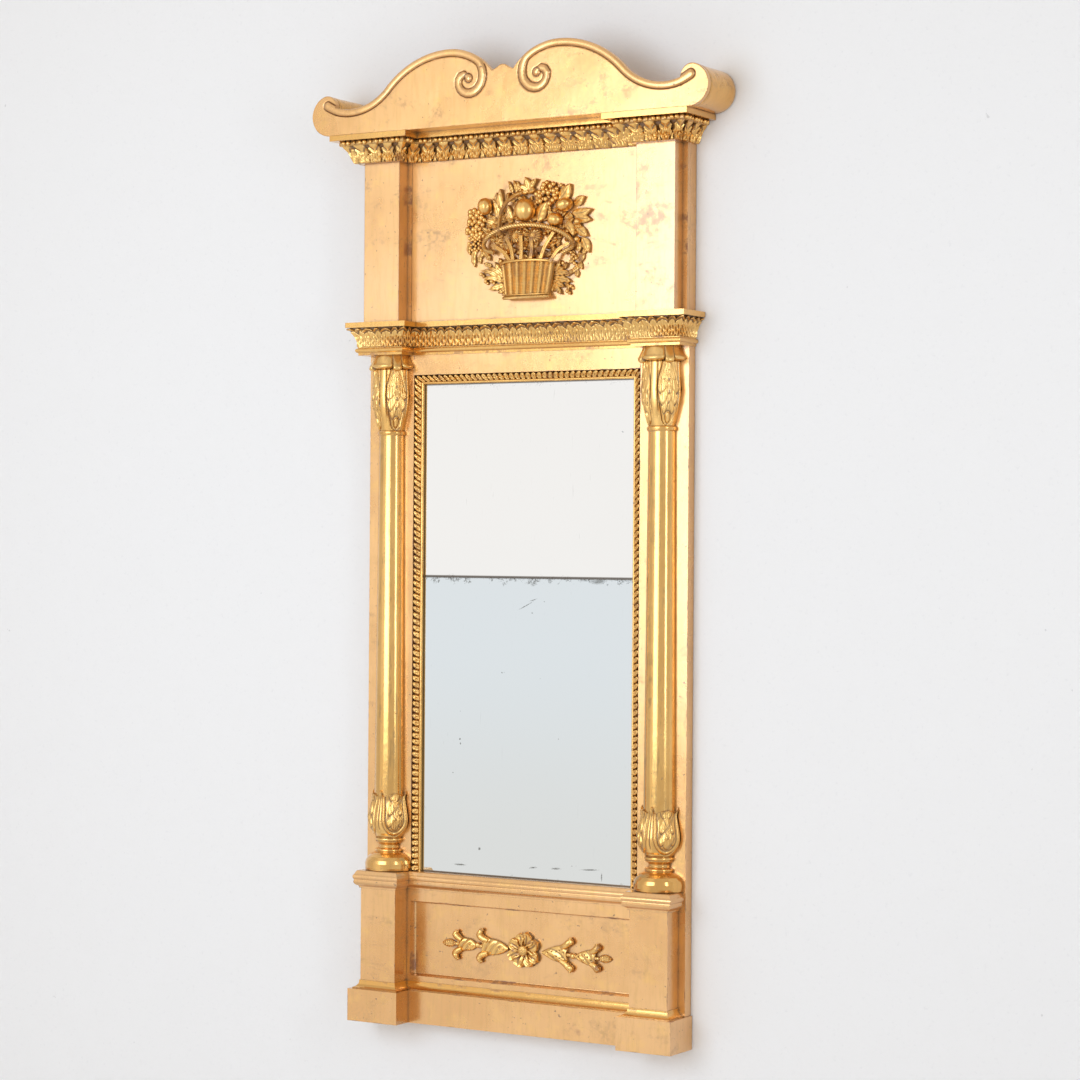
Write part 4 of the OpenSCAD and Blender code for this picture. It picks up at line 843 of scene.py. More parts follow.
# Leaves of the basket: foot, tip (x, z), half width, low and high, and the number of lobes
BASKET_LEAVES = [((12.9, 1412.8), (7.5, 1435.7), 7.0, 7, 9.5, 0), ((12.9, 1412.8), (30.7, 1431.9), 6.0, 7, 9.5, 0),
    ((12.9, 1412.8), (-5.2, 1421.1), 6.5, 7, 9.5, 0), ((12.9, 1412.8), (-0.7, 1408.5), 5.0, 7, 9.5, 0),
    ((12.9, 1412.8), (27.3, 1412.0), 6.0, 7, 9.5, 0), ((12.9, 1412.8), (17.4, 1407.4), 4.5, 7, 9.5, 0),
    ((-19.8, 1409.6), (-26.6, 1431.0), 3.6, 4, 7, 0), ((-11.7, 1410.0), (-16.5, 1431.7), 3.6, 4, 7, 0),
    ((-2.7, 1412.0), (-9.9, 1430.5), 4.0, 4, 6, 0), ((-39.7, 1374.7), (-41.1, 1418.6), 7.5, 5, 10, 0),
    ((-49.8, 1368.4), (-56.1, 1403.1), 7.0, 4, 9, 0), ((-53.0, 1387.5), (-49.5, 1413.4), 5.0, 4, 7, 0),
    ((-50.7, 1358.1), (-73.1, 1366.5), 5.5, 4, 7, 0), ((-56.9, 1372.2), (-66.0, 1370.1), 5.0, 4, 7, 0),
    ((-46.7, 1361.3), (-63.0, 1375.1), 4.0, 4, 6, 0), ((32.6, 1359.1), (54.1, 1392.1), 11.0, 8, 13, 0),
    ((-19.2, 1366.5), (-26.2, 1390.9), 6.5, 6, 9, 0), ((-28.2, 1363.6), (-31.4, 1380.9), 4.5, 6, 8, 0),
    ((71.1, 1394.1), (94.2, 1419.6), 11.0, 5, 9, 0), ((99.7, 1385.7), (121.4, 1397.6), 8.0, 4, 8, 0),
    ((95.9, 1371.5), (135.6, 1375.9), 8.5, 4, 8, 0), ((101.9, 1363.6), (135.0, 1358.1), 7.5, 4, 7, 0),
    ((83.3, 1354.4), (102.1, 1332.3), 8.5, 6, 9, 0), ((104.0, 1347.4), (128.2, 1331.5), 8.0, 4, 7, 0),
    ((115.9, 1329.9), (130.3, 1303.9), 8.0, 4, 7, 0), ((104.2, 1324.6), (111.6, 1304.7), 6.5, 4, 7, 0),
    ((97.1, 1350.3), (116.7, 1347.6), 6.0, 4, 7, 0), ((-95.2, 1320.7), (-93.3, 1289.5), 6.0, 3, 6, 2),
    ((-83.9, 1310.6), (-82.3, 1295.0), 4.5, 3, 5, 0), ((-74.7, 1313.6), (-61.4, 1299.2), 6.0, 4, 7, 2),
    ((-107.6, 1329.9), (-103.3, 1310.7), 4.0, 3, 5, 0), ((-76.8, 1319.8), (-80.8, 1304.4), 4.5, 3, 6, 0),
    ((99.4, 1309.6), (95.6, 1296.2), 4.5, 3, 6, 0), ((109.2, 1305.7), (117.2, 1291.0), 5.0, 3, 6, 0),
    ((119.0, 1306.9), (112.3, 1287.0), 4.5, 3, 6, 0), ((111.3, 1290.4), (116.3, 1276.7), 4.5, 3, 6, 0),
    ((109.4, 1282.0), (97.7, 1271.6), 4.5, 3, 6, 0), ((106.5, 1277.1), (107.6, 1263.5), 4.5, 3, 6, 0),
    ((99.5, 1296.0), (91.7, 1287.9), 3.6, 3, 6, 0), ((124.8, 1313.4), (119.0, 1300.2), 4.0, 3, 6, 0),
    ((60.2, 1275.8), (76.9, 1293.7), 5.0, 3.5, 7.5, 2), ((64.2, 1273.9), (83.9, 1281.5), 5.0, 3.5, 7.5, 2),
    ((62.2, 1270.6), (95.8, 1270.8), 6.0, 3.5, 7.5, 3), ((62.3, 1265.5), (97.8, 1257.2), 6.5, 3.5, 7.5, 3),
    ((60.3, 1260.5), (84.1, 1249.3), 6.0, 3.5, 7.5, 3), ((59.4, 1255.4), (78.3, 1236.8), 6.5, 3.5, 7.5, 3),
    ((62.4, 1251.9), (70.4, 1241.4), 4.5, 3.5, 7.5, 2), ((84.1, 1256.1), (93.0, 1243.0), 4.5, 3.5, 7.5, 2),
    ((78.0, 1280.1), (89.7, 1288.0), 3.6, 3.5, 7.5, 0), ((82.0, 1268.0), (101.6, 1279.0), 4.5, 3.5, 7.5, 2),
    ((57.4, 1252.1), (61.5, 1241.7), 3.5, 3.5, 7.5, 0), ((-35.8, 1274.9), (-52.2, 1296.2), 6.0, 3.5, 7.5, 2),
    ((-40.0, 1285.4), (-44.2, 1302.7), 5.0, 3.5, 7.5, 2), ((-35.8, 1269.7), (-66.4, 1286.5), 6.0, 3.5, 7.5, 3),
    ((-39.8, 1264.7), (-80.6, 1282.9), 6.0, 3.5, 7.5, 3), ((-37.8, 1262.9), (-76.4, 1269.7), 6.0, 3.5, 7.5, 3),
    ((-35.7, 1257.7), (-64.0, 1250.3), 6.5, 3.5, 7.5, 3), ((-31.6, 1254.1), (-45.7, 1243.5), 5.5, 3.5, 7.5, 2),
    ((-27.5, 1247.0), (-37.6, 1238.9), 4.5, 3.5, 7.5, 2), ((-54.1, 1273.9), (-60.0, 1260.4), 4.5, 3.5, 7.5, 2),
    ((-30.8, 1274.6), (-39.8, 1261.3), 5.0, 3.5, 7.5, 2), ((-27.8, 1281.4), (-30.7, 1264.3), 5.0, 3.5, 7.5, 0),
    ((-48.0, 1282.3), (-27.9, 1288.2), 4.0, 3.5, 7.5, 0), ((-60.3, 1289.7), (-74.6, 1295.5), 4.5, 3.5, 7.5, 2)]
BASKET_GRAPES = [(-100.6, 1383.0), (-92.4, 1384.8), (-84.2, 1382.1), (-99.5, 1376.4), (-87.9, 1376.8), (-79.0, 1372.3),
    (-101.5, 1366.6), (-91.9, 1367.0), (-82.0, 1364.4), (-105.5, 1353.0), (-95.2, 1353.3), (-87.1, 1357.2),
    (-97.2, 1344.8), (-87.6, 1343.4), (-79.4, 1345.3)]
BASKET_BERRIES = [(-103.6, 1338.4), (-95.4, 1336.2), (-87.2, 1336.7), (-103.5, 1329.7), (-95.3, 1328.5),
    (-85.1, 1328.8), (-101.4, 1321.8), (-93.2, 1320.6), (-84.0, 1321.0), (92.5, 1309.0), (100.4, 1301.9), (107.3, 1295.7),
    (102.5, 1287.4), (97.5, 1297.8), (81.8, 1288.4), (95.9, 1249.6), (90.1, 1241.4), (-79.5, 1276.8),
    (-71.3, 1264.3), (-58.0, 1263.8), (75.9, 1418.5), (88.3, 1340.6), (-28.0, 1311.4), (-32.0, 1305.6)]
BASKET_TOP_GRAPES = [(45.0, 1420.8), (57.9, 1417.5), (44.1, 1409.0), (54.0, 1406.7), (63.9, 1409.5),
    (64.9, 1402.6), (37.2, 1402.6), (48.2, 1396.5), (38.2, 1393.6), (62.6, 1393.9), (55.2, 1388.8), (31.2, 1405.5), (42.0, 1415.9)]
# Fruit: middle (x, z), the radii across, up and outwards, and the turn
BASKET_FRUIT = [(10.0, 1380.1, 19.0, 19.4, 17.0, 0.0), (85.4, 1385.2, 14.9, 11.4, 14.0, 0.25),
    (67.8, 1361.3, 14.5, 11.4, 14.0, -0.15), (-71.0, 1390.9, 13.1, 14.5, 12.5, 0.1),
    (109.2, 1356.1, 6.2, 5.9, 8.0, 0), (108.1, 1326.9, 4.8, 4.8, 7.0, 0), (-28.6, 1311.1, 6.2, 5.2, 8.5, 0),
    (57.9, 1343.7, 4.1, 4.1, 7.5, 0), (67.9, 1330.4, 4.1, 4.1, 7.5, 0), (47.0, 1339.1, 3.8, 3.8, 7.0, 0)]
BASKET_HOOP = [(-52.0, 1311.9), (-67.3, 1316.9), (-71.4, 1327.5), (-61.4, 1339.9), (-40.2, 1349.1), (-16.0, 1354.2),
    (12.1, 1355.4), (40.0, 1352.6), (63.8, 1347.1), (85.6, 1337.5), (99.4, 1325.8), (99.5, 1314.8), (80.9, 1305.6)]
BASKET_HANDLE = [(-36.7, 1340.3), (-39.2, 1353.4), (-38.7, 1367.9), (-34.4, 1382.3), (-24.4, 1396.3), (-10.4, 1405.7),
    (3.6, 1410.0)]
BASKET_RIBS = [[(-15.5, 1293.9), (-31.8, 1311.8), (-56.2, 1325.0)], [(-10.5, 1294.5), (-15.7, 1316.2), (-28.0, 1338.2)],
    [(4.6, 1294.7), (4.4, 1315.2), (2.2, 1337.5)], [(22.6, 1293.9), (24.4, 1312.5), (22.2, 1333.1)],
    [(41.5, 1293.0), (50.2, 1316.4), (65.9, 1340.2)], [(61.3, 1290.4), (76.0, 1310.0), (95.6, 1320.9)]]


def woven_body(carving):
    """Staves and wicker rows on a bowed front."""
    s = np.linspace(0, 1, 121)[:, None]
    v = np.linspace(0, 1, 141)[None, :]
    left, right = -28.5 - 8.5 * v, 55.0 + 11.0 * v
    x = left + (right - left) * s
    t = 2 * s - 1
    z = 1234.5 + 55.5 * v + 4.5 * dome(t) * v - 1.0 * dome(t) * (1 - v)
    staves = 6.5
    stave = np.cos(TAU * staves * s)
    row = np.cos(TAU * 24 * v)
    tuck = smooth((np.abs(stave) - 0.15) / 0.4)
    lift = 7.0 + 13.0 * dome(t * 0.98, 0.55) + 1.5 * stave + 0.62 * row * tuck
    dark = np.maximum(smooth((-stave - 0.72) / 0.25) * 0.6, smooth((-row - 0.45) / 0.5) * 0.6 * tuck)
    carving.relief(np.stack([x, carving.ground - lift, z], -1), carving.ground + BURIED, dark)
    a = np.linspace(-1, 1, 15)
    # The rim, the roped foot and the ring above it: height, rise, ends, radius, twists, and distance from the bowl
    for z0, rise, x0, x1, r, lay, off in (
            (1290.5, 4.5, -37.5, 66.5, 2.3, 0.0, 1.5), (1234.0, -1.0, -31.0, 57.5, 2.6, 34.0, 2.2),
            (1238.6, -1.0, -30.0, 56.5, 1.2, 0.0, 1.2)):
        line = np.stack([x0 + (x1 - x0) * (a + 1) / 2, z0 + rise * dome(a)], -1)
        carving.rope(line, r, 7.0 + 13.0 * dome(a * 0.98, 0.55) + off, lay)


def fluted_disc(carving, at, rx, rz, high, flutes):
    """A shell seen from the front: flutes round a sunk middle."""
    r = np.linspace(1.0, 0.02, 12)[:, None]
    b = np.linspace(0, TAU, 8 * flutes, endpoint=False)[None, :]
    edge = 1 + 0.05 * np.cos(flutes * b) * smooth((r - 0.6) / 0.4)
    flute = np.cos(flutes * b) * smooth((r - 0.12) / 0.3) * smooth((1.06 - r) / 0.1)
    lift = high * (0.55 + 0.45 * dome(np.minimum(r, 1.0))) + 0.75 * flute - 1.6 * peak(r, 0.14)
    carving.boss(at[0] + rx * r * edge * np.cos(b), at[1] + rz * r * edge * np.sin(b), lift,
                 smooth((-flute - 0.2) / 0.6) * 0.75, 0.6)


def fruit_basket():
    """The basket's body and ribs, its hoop and handle, two shells, fruit, berries and leaves."""
    carving = Relief(BOARD_Y)
    woven_body(carving)
    for line in BASKET_RIBS:
        for shift, r, out in ((-1.9, 1.5, 0.0), (1.9, 1.5, 0.0), (0.0, 1.7, -0.8)):
            pts = np.array(line, float)
            way = pts[-1] - pts[0]
            pts = pts + np.array([-way[1], way[0]]) / np.hypot(*way) * shift
            carving.rope(pts, r, np.linspace(15, 11, len(pts)) + out, 0.0, 8)
    carving.rope(BASKET_HOOP, 3.8, (9, 10, 11, 12, 13.5, 14.5, 14.5, 14, 13, 11.5, 10, 9, 8), 62.0, 12)
    carving.rope(BASKET_HANDLE, 3.1, np.linspace(14.5, 11, len(BASKET_HANDLE)), 44.0, 12)
    fluted_disc(carving, (-10.5, 1337.6), 14.0, 12.0, 11.5, 14)
    fluted_disc(carving, (25.0, 1337.0), 14.5, 12.5, 12.0, 14)
    for x, z, rx, rz, ry, turn in BASKET_FRUIT:
        carving.ball((x, BOARD_Y - 0.65 * ry, z), (rx, ry, rz), turn, rows=18, around=28, crease=0.10)
    carving.berries(BASKET_GRAPES, 5.0, 6.5)
    carving.berries(BASKET_BERRIES, 3.3, 5.0)
    carving.berries(BASKET_TOP_GRAPES, 4.6, 8.0)
    # A lower layer fills the gaps in each bunch
    for bunch, r, high, dx, dz in ((BASKET_GRAPES, 4.6, 3.6, 3.8, -3.6), (BASKET_BERRIES, 2.9, 2.6, 2.9, -3.0),
                                   (BASKET_TOP_GRAPES, 4.3, 4.6, 3.6, 3.4), (BASKET_GRAPES, 4.2, 2.8, -3.6, -4.2)):
        carving.berries([(x + dx, z + dz) for x, z in bunch], r, high)
    for base, tip, width, low, high, lobes in BASKET_LEAVES:
        bend = 0.10 * math.sin(base[0] * 0.7 + tip[1])
        carving.leaf(base, tip, width, low, high, bend, lobes)
    # Low leaves that fill the heap between the ribs and behind the fruit
    draw = np.random.RandomState(11)
    for x0, x1, z0, z1, count, high in ((-34, 62, 1299, 1330, 60, 7.0), (-62, 84, 1322, 1350, 60, 6.0),
                                        (-46, 60, 1352, 1404, 80, 6.5), (-80, -40, 1340, 1392, 30, 4.5),
                                        (56, 100, 1335, 1395, 40, 5.0)):
        for _ in range(count):
            x, z = draw.uniform(x0, x1), draw.uniform(z0, z1)
            a, reach = draw.uniform(0, TAU), draw.uniform(9, 15)
            carving.leaf((x, z), (x + reach * math.cos(a), z + reach * math.sin(a)), draw.uniform(3.2, 5.4),
                         high - 2.5, high + draw.uniform(0, 2.5), 0.1, 0, 3, rows=10)
    carving.make("basket_carving", BASKET_GILT, "fruit_basket", 55)


BASKET_GILT = gilt("gilt_basket", PALE, PALE_DEEP, rough=0.31, relief=True, reach=0.006, coat=0.25)
fruit_basket()

# ---------------------------------------------------------------- capitals and lotus cups

COLUMN_X, COLUMN_Y = 265.6, -21.0
# The half column's front runs from the stile at one side (angle -90) to the stile at the other (90); 0 is outwards


def turned(radius, angle, height, z0):
    """Points of a half-turned surface at the right-hand column, from radius and angle in degrees."""
    radius, a, height = np.broadcast_arrays(radius, np.radians(angle), height)
    return np.stack([COLUMN_X + radius * np.sin(a), COLUMN_Y - radius * np.cos(a), z0 + height], -1)


def half_turned(carving, radius, angle, height, z0, dark):
    """Closes a half-turned front with a flat back on the stile, and leaves a thin edge at both sides."""
    front = turned(radius, angle, height, z0)
    back = front.copy()
    back[..., 1] = COLUMN_Y
    front[np.broadcast_to(np.abs(angle) > 89.9, front.shape[:2]), 1] = COLUMN_Y - 0.02
    carving.slab(front, back, dark)


def drooping(t, z, lobes):
    """Overlapping tongues on a carved leaf: each rises from the leaf, fluted, and drops sharply at its lower edge."""
    lift, dark = np.zeros(np.broadcast_shapes(t.shape, z.shape)), 0.0
    for at_t, at_z, half_t, half_z, high, lean in lobes:
        for side in ((1,) if at_t == 0 else (-1, 1)):
            du = (side * t - at_t) / half_t
            dz = (z - at_z) / half_z + lean * du
            r = np.hypot(du, dz)
            inside = smooth((1.06 - r) / 0.16)
            flute = 0.30 * np.cos(TAU * 1.6 * du) * smooth((1 - r) / 0.4)
            lift = np.maximum(lift, inside * (high * (0.45 + 0.55 * smooth((0.8 - dz) / 1.6)) + flute))
            dark = np.maximum(dark * (1 - inside), peak(r - 1.12, 0.10) * smooth((0.25 - dz) / 0.4))
    return lift, dark


# Tongues: middle across and up, half sizes, height, lean
ACANTHUS = [(0.0, 0.93, 0.40, 0.10, 2.2, 0.0), (0.36, 0.80, 0.34, 0.11, 1.9, 0.5), (0.0, 0.76, 0.26, 0.10, 2.6, 0.0),
            (0.48, 0.63, 0.40, 0.12, 2.0, 0.6), (0.0, 0.57, 0.30, 0.10, 3.1, 0.0), (0.46, 0.45, 0.40, 0.11, 1.9, 0.7),
            (0.0, 0.41, 0.20, 0.07, 2.0, 0.0), (0.42, 0.30, 0.34, 0.09, 1.2, 0.7)]
LOTUS_LEAF = [(0.0, 0.88, 0.55, 0.13, 1.6, 0.0), (0.20, 0.66, 0.42, 0.13, 2.3, 0.9), (0.0, 0.50, 0.30, 0.13, 3.2, -0.6),
              (0.30, 0.40, 0.36, 0.11, 1.9, 1.0), (0.0, 0.27, 0.34, 0.10, 2.2, 0.0)]


def capital(flip):
    """A bell with an acanthus leaf at each corner, a smooth leaf in front, and a canopy of drooping facets above."""
    carving = Carving()
    profile = np.array([(0, 22.7), (14, 26.0), (30, 30.0), (46, 32.8), (60, 33.6), (78, 32.6), (98, 31.8), (109, 32.0)])
    a = np.linspace(-90, 90, 217)[:, None]
    z = np.linspace(0, 1, 151)[None, :]
    height = 108.5 * z
    radius = curve(profile[:, 0] / 109, profile[:, 1], z)
    side = np.abs(a)
    plain = 0.9 * dome(np.minimum(side / 11.0, 1.0)) - 1.5 * peak(side - 11.5, 1.7) + 0.8 * peak(side - 15.0, 1.5)
    plain = plain * smooth((z - 0.10) / 0.2) - 1.2 * peak(side - 78.0, 2.2) * smooth((z - 0.1) / 0.3)
    plain_dark = np.maximum(peak(side - 11.5, 1.7), peak(side - 78.0, 2.2)) * 0.8 * smooth((z - 0.12) / 0.2)
    # The carved leaf: round foot at the collar, widest above its middle, drawn in under the canopy
    half = 31.0 * np.interp(z, (0, 0.03, 0.08, 0.18, 0.35, 0.55, 0.72, 0.88, 1.0),
                            (0.05, 0.42, 0.62, 0.70, 0.84, 1.0, 0.92, 0.66, 0.52))
    t = (side - 44.0) / half
    on_leaf = smooth((1.0 - np.abs(t)) / 0.08)
    lift, dark = drooping(t, z, ACANTHUS)
    vein = peak(t, 0.05) * smooth((z - 0.3) / 0.1)
    foot = np.hypot(t / 0.40, (z - 0.125) / 0.085)
    leaflet = 2.3 * smooth((1.0 - foot) / 0.3) + 0.5 * np.cos(TAU * 2.2 * t) * (foot < 0.8)
    ring = peak(foot - 1.22, 0.17)
    border = peak(np.abs(t) - 0.90, 0.07) * 1.3
    around = peak(np.abs(t) - 1.08, 0.07) * smooth((z - 0.01) / 0.03)
    raised = lift + leaflet - 1.1 * ring - 0.6 * vein + border + 1.1
    radius = radius + plain * (1 - on_leaf) + raised * on_leaf - 1.5 * around
    shade = np.maximum(np.maximum(dark * 0.95, ring * 0.75) * on_leaf, plain_dark * (1 - on_leaf))
    shade = np.maximum(shade, around * 0.9)
    under = smooth((z - 0.955) / 0.04)
    radius = radius - 2.2 * under
    half_turned(carving, np.clip(radius, 20, 41.5), a, height, 1014.5, np.maximum(shade, under * 0.9))
    # Canopy: a wide facet in front, narrow leaf tips at the corners, and a facet at each side
    rows, reach = np.array([(104.5, 32.0), (105.0, 37.6), (106.2, 40.4), (108.0, 41.9), (110.2, 42.0), (113, 40.6),
                            (117, 38.4), (121, 36.6), (125, 35.0), (128, 34.0), (130, 33.3)]).T
    corner = (side > 33.0) & (side < 56.0)
    facet = np.where(corner, (side - 44.5) / 11.5, np.where(side <= 33.0, a / 33.0, (side - 77.0) / 21.0))
    facet = np.clip(facet, -1, 1)
    lower = smooth((119 - rows) / 12)
    fold = peak(1 - np.abs(facet), 0.10)
    scallop = dome(facet * 0.98, 0.45)
    level = rows + lower * (3.6 * (1 - scallop) + np.where(corner, -2.7, 1.2))
    out = reach - lower * 3.4 * (1 - scallop) - 1.7 * fold * smooth((129 - rows) / 6)
    lip = peak(rows - 108.8, 2.2) * np.where(corner, 1.0, 0.8) * scallop
    shade = np.maximum(fold * 0.8, 0.55 * peak(rows - 114.0, 2.2) * scallop)
    half_turned(carving, np.clip(out + lip, 20, 42.5), a, level, 1014.5, shade)
    carving.make_side("capital_carving", COLUMN_GILT, "capital", flip)


def lotus_cup(flip):
    """A cup of two broad petals with rolled, U-shaped borders; each holds a carved leaf. Their tips point outwards."""
    carving = Carving()
    foot_z, span = 5.5, 83.5
    profile = np.array([(foot_z, 24), (11, 27), (20, 33), (28, 36.4), (34, 37.2), (46, 36.2), (60, 33.6), (72, 31.4),
                        (82, 32.0), (foot_z + span, 33.6)])
    a = np.linspace(-90, 90, 217)[:, None]
    v = np.linspace(0, 1, 131)[None, :]
    side = np.abs(a)
    petal = (side - 47.0) / 41.0
    point = np.maximum(peak(side, 5.0), peak(side - 90.0, 7.0))
    rim = 78.0 + 4.4 * peak(side - 47.0, 17.0) + 9.8 * point
    rim = rim - 1.5 * peak(side - 14.0, 5.0) - 1.5 * peak(side - 76.0, 4.0)
    height = foot_z + (rim - foot_z) * v
    up = (height - foot_z) / span
    radius = curve((profile[:, 0] - foot_z) / span, profile[:, 1], up)
    foot = np.hypot(petal / 0.80, (up - 0.34) / 0.27)
    inset = 0.84 + 0.10 * smooth((up - 0.55) / 0.35)
    edge = np.where(up > 0.34, np.abs(petal) / inset, foot)
    border = peak(edge - 0.93, 0.09) * 1.9
    groove = peak(edge - 0.76, 0.06) + 0.8 * peak(edge - 1.09, 0.05)
    seam = peak(side, 1.6) * smooth((0.93 - up) / 0.1) * smooth((up - 0.12) / 0.1)
    within = smooth((0.74 - edge) / 0.08)
    lift, dark = drooping(petal / 0.72, up, LOTUS_LEAF)
    slant = np.cos(TAU * (2.6 * up - 0.9 * petal))
    lift = lift + 0.45 * slant
    low_ring = peak(up - 0.10, 0.03) * (edge > 1.0)
    total = border - 1.3 * groove - 1.0 * seam + within * (lift - 0.6)
    total = total + 1.3 * point * smooth((v - 0.85) / 0.15) + 0.6 * low_ring
    total = total * smooth(up / 0.06)
    in_leaf = within * np.maximum(dark * 0.95, smooth((-slant - 0.55) / 0.4) * 0.5)
    shade = np.maximum.reduce([np.clip(groove, 0, 1) * 0.85, seam * 0.8, in_leaf])
    half_turned(carving, np.clip(radius + total, 22, 39.6), a, height, 308.0, shade * smooth(up / 0.04))
    neck = np.array([(0, 24), (0.6, 25.2), (1.5, 25.8), (4, 25.8), (4.9, 25.2), (5.3, 23.6), (6.6, 23.4), (7.2, 26)])
    half_turned(carving, neck[:, 1], a, neck[:, 0], 308.0, (0.4, 0, 0, 0, 0, 0.9, 0.9, 0.5))
    carving.make_side("lotus_carving", COLUMN_GILT, "lotus_cup", flip)


def column_foot(flip):
    """The turned foot under a cup: a broad bun, a ring and a narrow neck."""
    points = np.array([(0, 41.0), (1, 42.2), (4.5, 43.0), (12.5, 43.2), (18.5, 41.4), (24, 37.6), (28, 32.5),
                       (30.4, 28.0), (31.4, 26.0), (31.9, 24.4), (32.6, 24.9), (34.2, 25.7), (36.5, 25.3),
                       (37.5, 23.4), (38.6, 20.3), (41.5, 18.9), (44.5, 19.6), (47, 22.5), (48.5, 24.5),
                       (50.5, 25.0)])
    height = np.unique(np.concatenate([points[:, 0], np.linspace(0, 50.5, 90)]))
    radius = np.interp(height, points[:, 0], points[:, 1])
    soft = np.convolve(np.pad(radius, 2, "edge"), [0.12, 0.24, 0.28, 0.24, 0.12], "valid")
    a = np.linspace(-90, 90, 91)[:, None]
    carving = Carving()
    dark = np.maximum(peak(height - 31.9, 0.7) * 0.8, peak(height - 37.8, 0.8) * 0.5)
    half_turned(carving, soft, a, height, 257.5, dark)
    carving.make_side("column_foot", BURNISHED, "column_base", flip)


COLUMN_GILT = gilt("gilt_column", PALE, PALE_DEEP, rough=0.25, relief=True, reach=0.005, coat=0.3)
for flipped in (False, True):
    capital(flipped)
    lotus_cup(flipped)
    column_foot(flipped)


# ---------------------------------------------------------------- rosette and garlands on the apron

APRON_Y = -9.0


def petal(carving, middle, angle, reach, wide, bend):
    """A cupped petal with a rolled rim and a fold down its middle."""
    u = np.linspace(0.0, 1.0, 22)[:, None]
    v = np.linspace(-1.0, 1.0, 19)[None, :]
    half = wide * np.sin(math.pi * (0.10 + 0.80 * u ** 1.25)) ** 0.7 * (1 - 0.75 * smooth((u - 0.86) / 0.14))
    out = 5.5 + (reach - 5.5) * u
    swing = angle + bend * u * u
    x = middle[0] + out * np.cos(swing) - half * v * np.sin(swing)
    z = middle[1] + out * np.sin(swing) + half * v * np.cos(swing)
    rim = peak(np.abs(v) - 0.80, 0.20) + 0.8 * peak(u - 0.92, 0.10) * (np.abs(v) < 0.95)
    fold = peak(v + 0.12 * np.sin(4 * u), 0.16) * smooth((0.92 - u) / 0.2)
    lift = 5.0 + 3.2 * np.sin(math.pi * u * 0.85) + 2.6 * rim * smooth(u / 0.25) - 1.5 * fold
    lift = lift * (0.30 + 0.70 * dome(v * 0.985, 0.4)) * (0.55 + 0.45 * smooth((1.0 - u) / 0.08))
    dark = np.clip(fold * 0.8 + smooth((np.abs(v) - 0.90) / 0.1) * 0.8 + smooth((0.22 - u) / 0.2) * 0.9, 0, 1)
    carving.rise(x, z, lift, dark)


def rosette():
    """Eight petals, a twisted stamen in each gap, and a button with two sets of cuts."""
    carving = Relief(APRON_Y)
    mid_x, mid_z = 1.5, 137.4
    for i in range(8):
        angle = math.radians(22 + 45 * i) + 0.10 * math.sin(2.3 * i)
        reach, wide = 31.5 + 1.5 * math.sin(1.9 * i + 0.5), 11.2 + 0.9 * math.sin(3.1 * i)
        petal(carving, (mid_x, mid_z), angle, reach, wide, 0.16 * math.sin(1.3 * i + 1))
    radii = np.interp(np.linspace(0, 1, 24), (0, 0.7, 1), (1.5, 2.5, 1.1))
    for i in range(8):
        angle = math.radians(44 + 45 * i) + 0.08 * math.sin(1.7 * i)
        turns = [(r, angle + 0.16 * math.sin(r * 0.22)) for r in (8.0, 14.0, 20.0, 25.5)]
        line = [(mid_x + r * math.cos(turn), mid_z + r * math.sin(turn)) for r, turn in turns]
        carving.rope(line, radii, (8.0, 9.4, 9.6, 7.5), 0.0, 10)
    r = np.linspace(1.0, 0.03, 14)[:, None]
    b = np.linspace(0, TAU, 56, endpoint=False)[None, :]
    px, pz = 9.2 * r * np.cos(b), 9.2 * r * np.sin(b)
    hatch = np.cos(TAU * (px + pz) / 4.4) * np.cos(TAU * (px - pz) / 4.4)
    lift = 8.0 + 5.4 * dome(r * 0.99) + 0.42 * hatch * smooth((1 - r) / 0.2)
    carving.boss(mid_x + px, mid_z + pz, lift, smooth((-hatch - 0.1) / 0.6) * 0.7, 1.0)
    carving.make("rosette_carving", APRON_GILT, "rosette", 55)


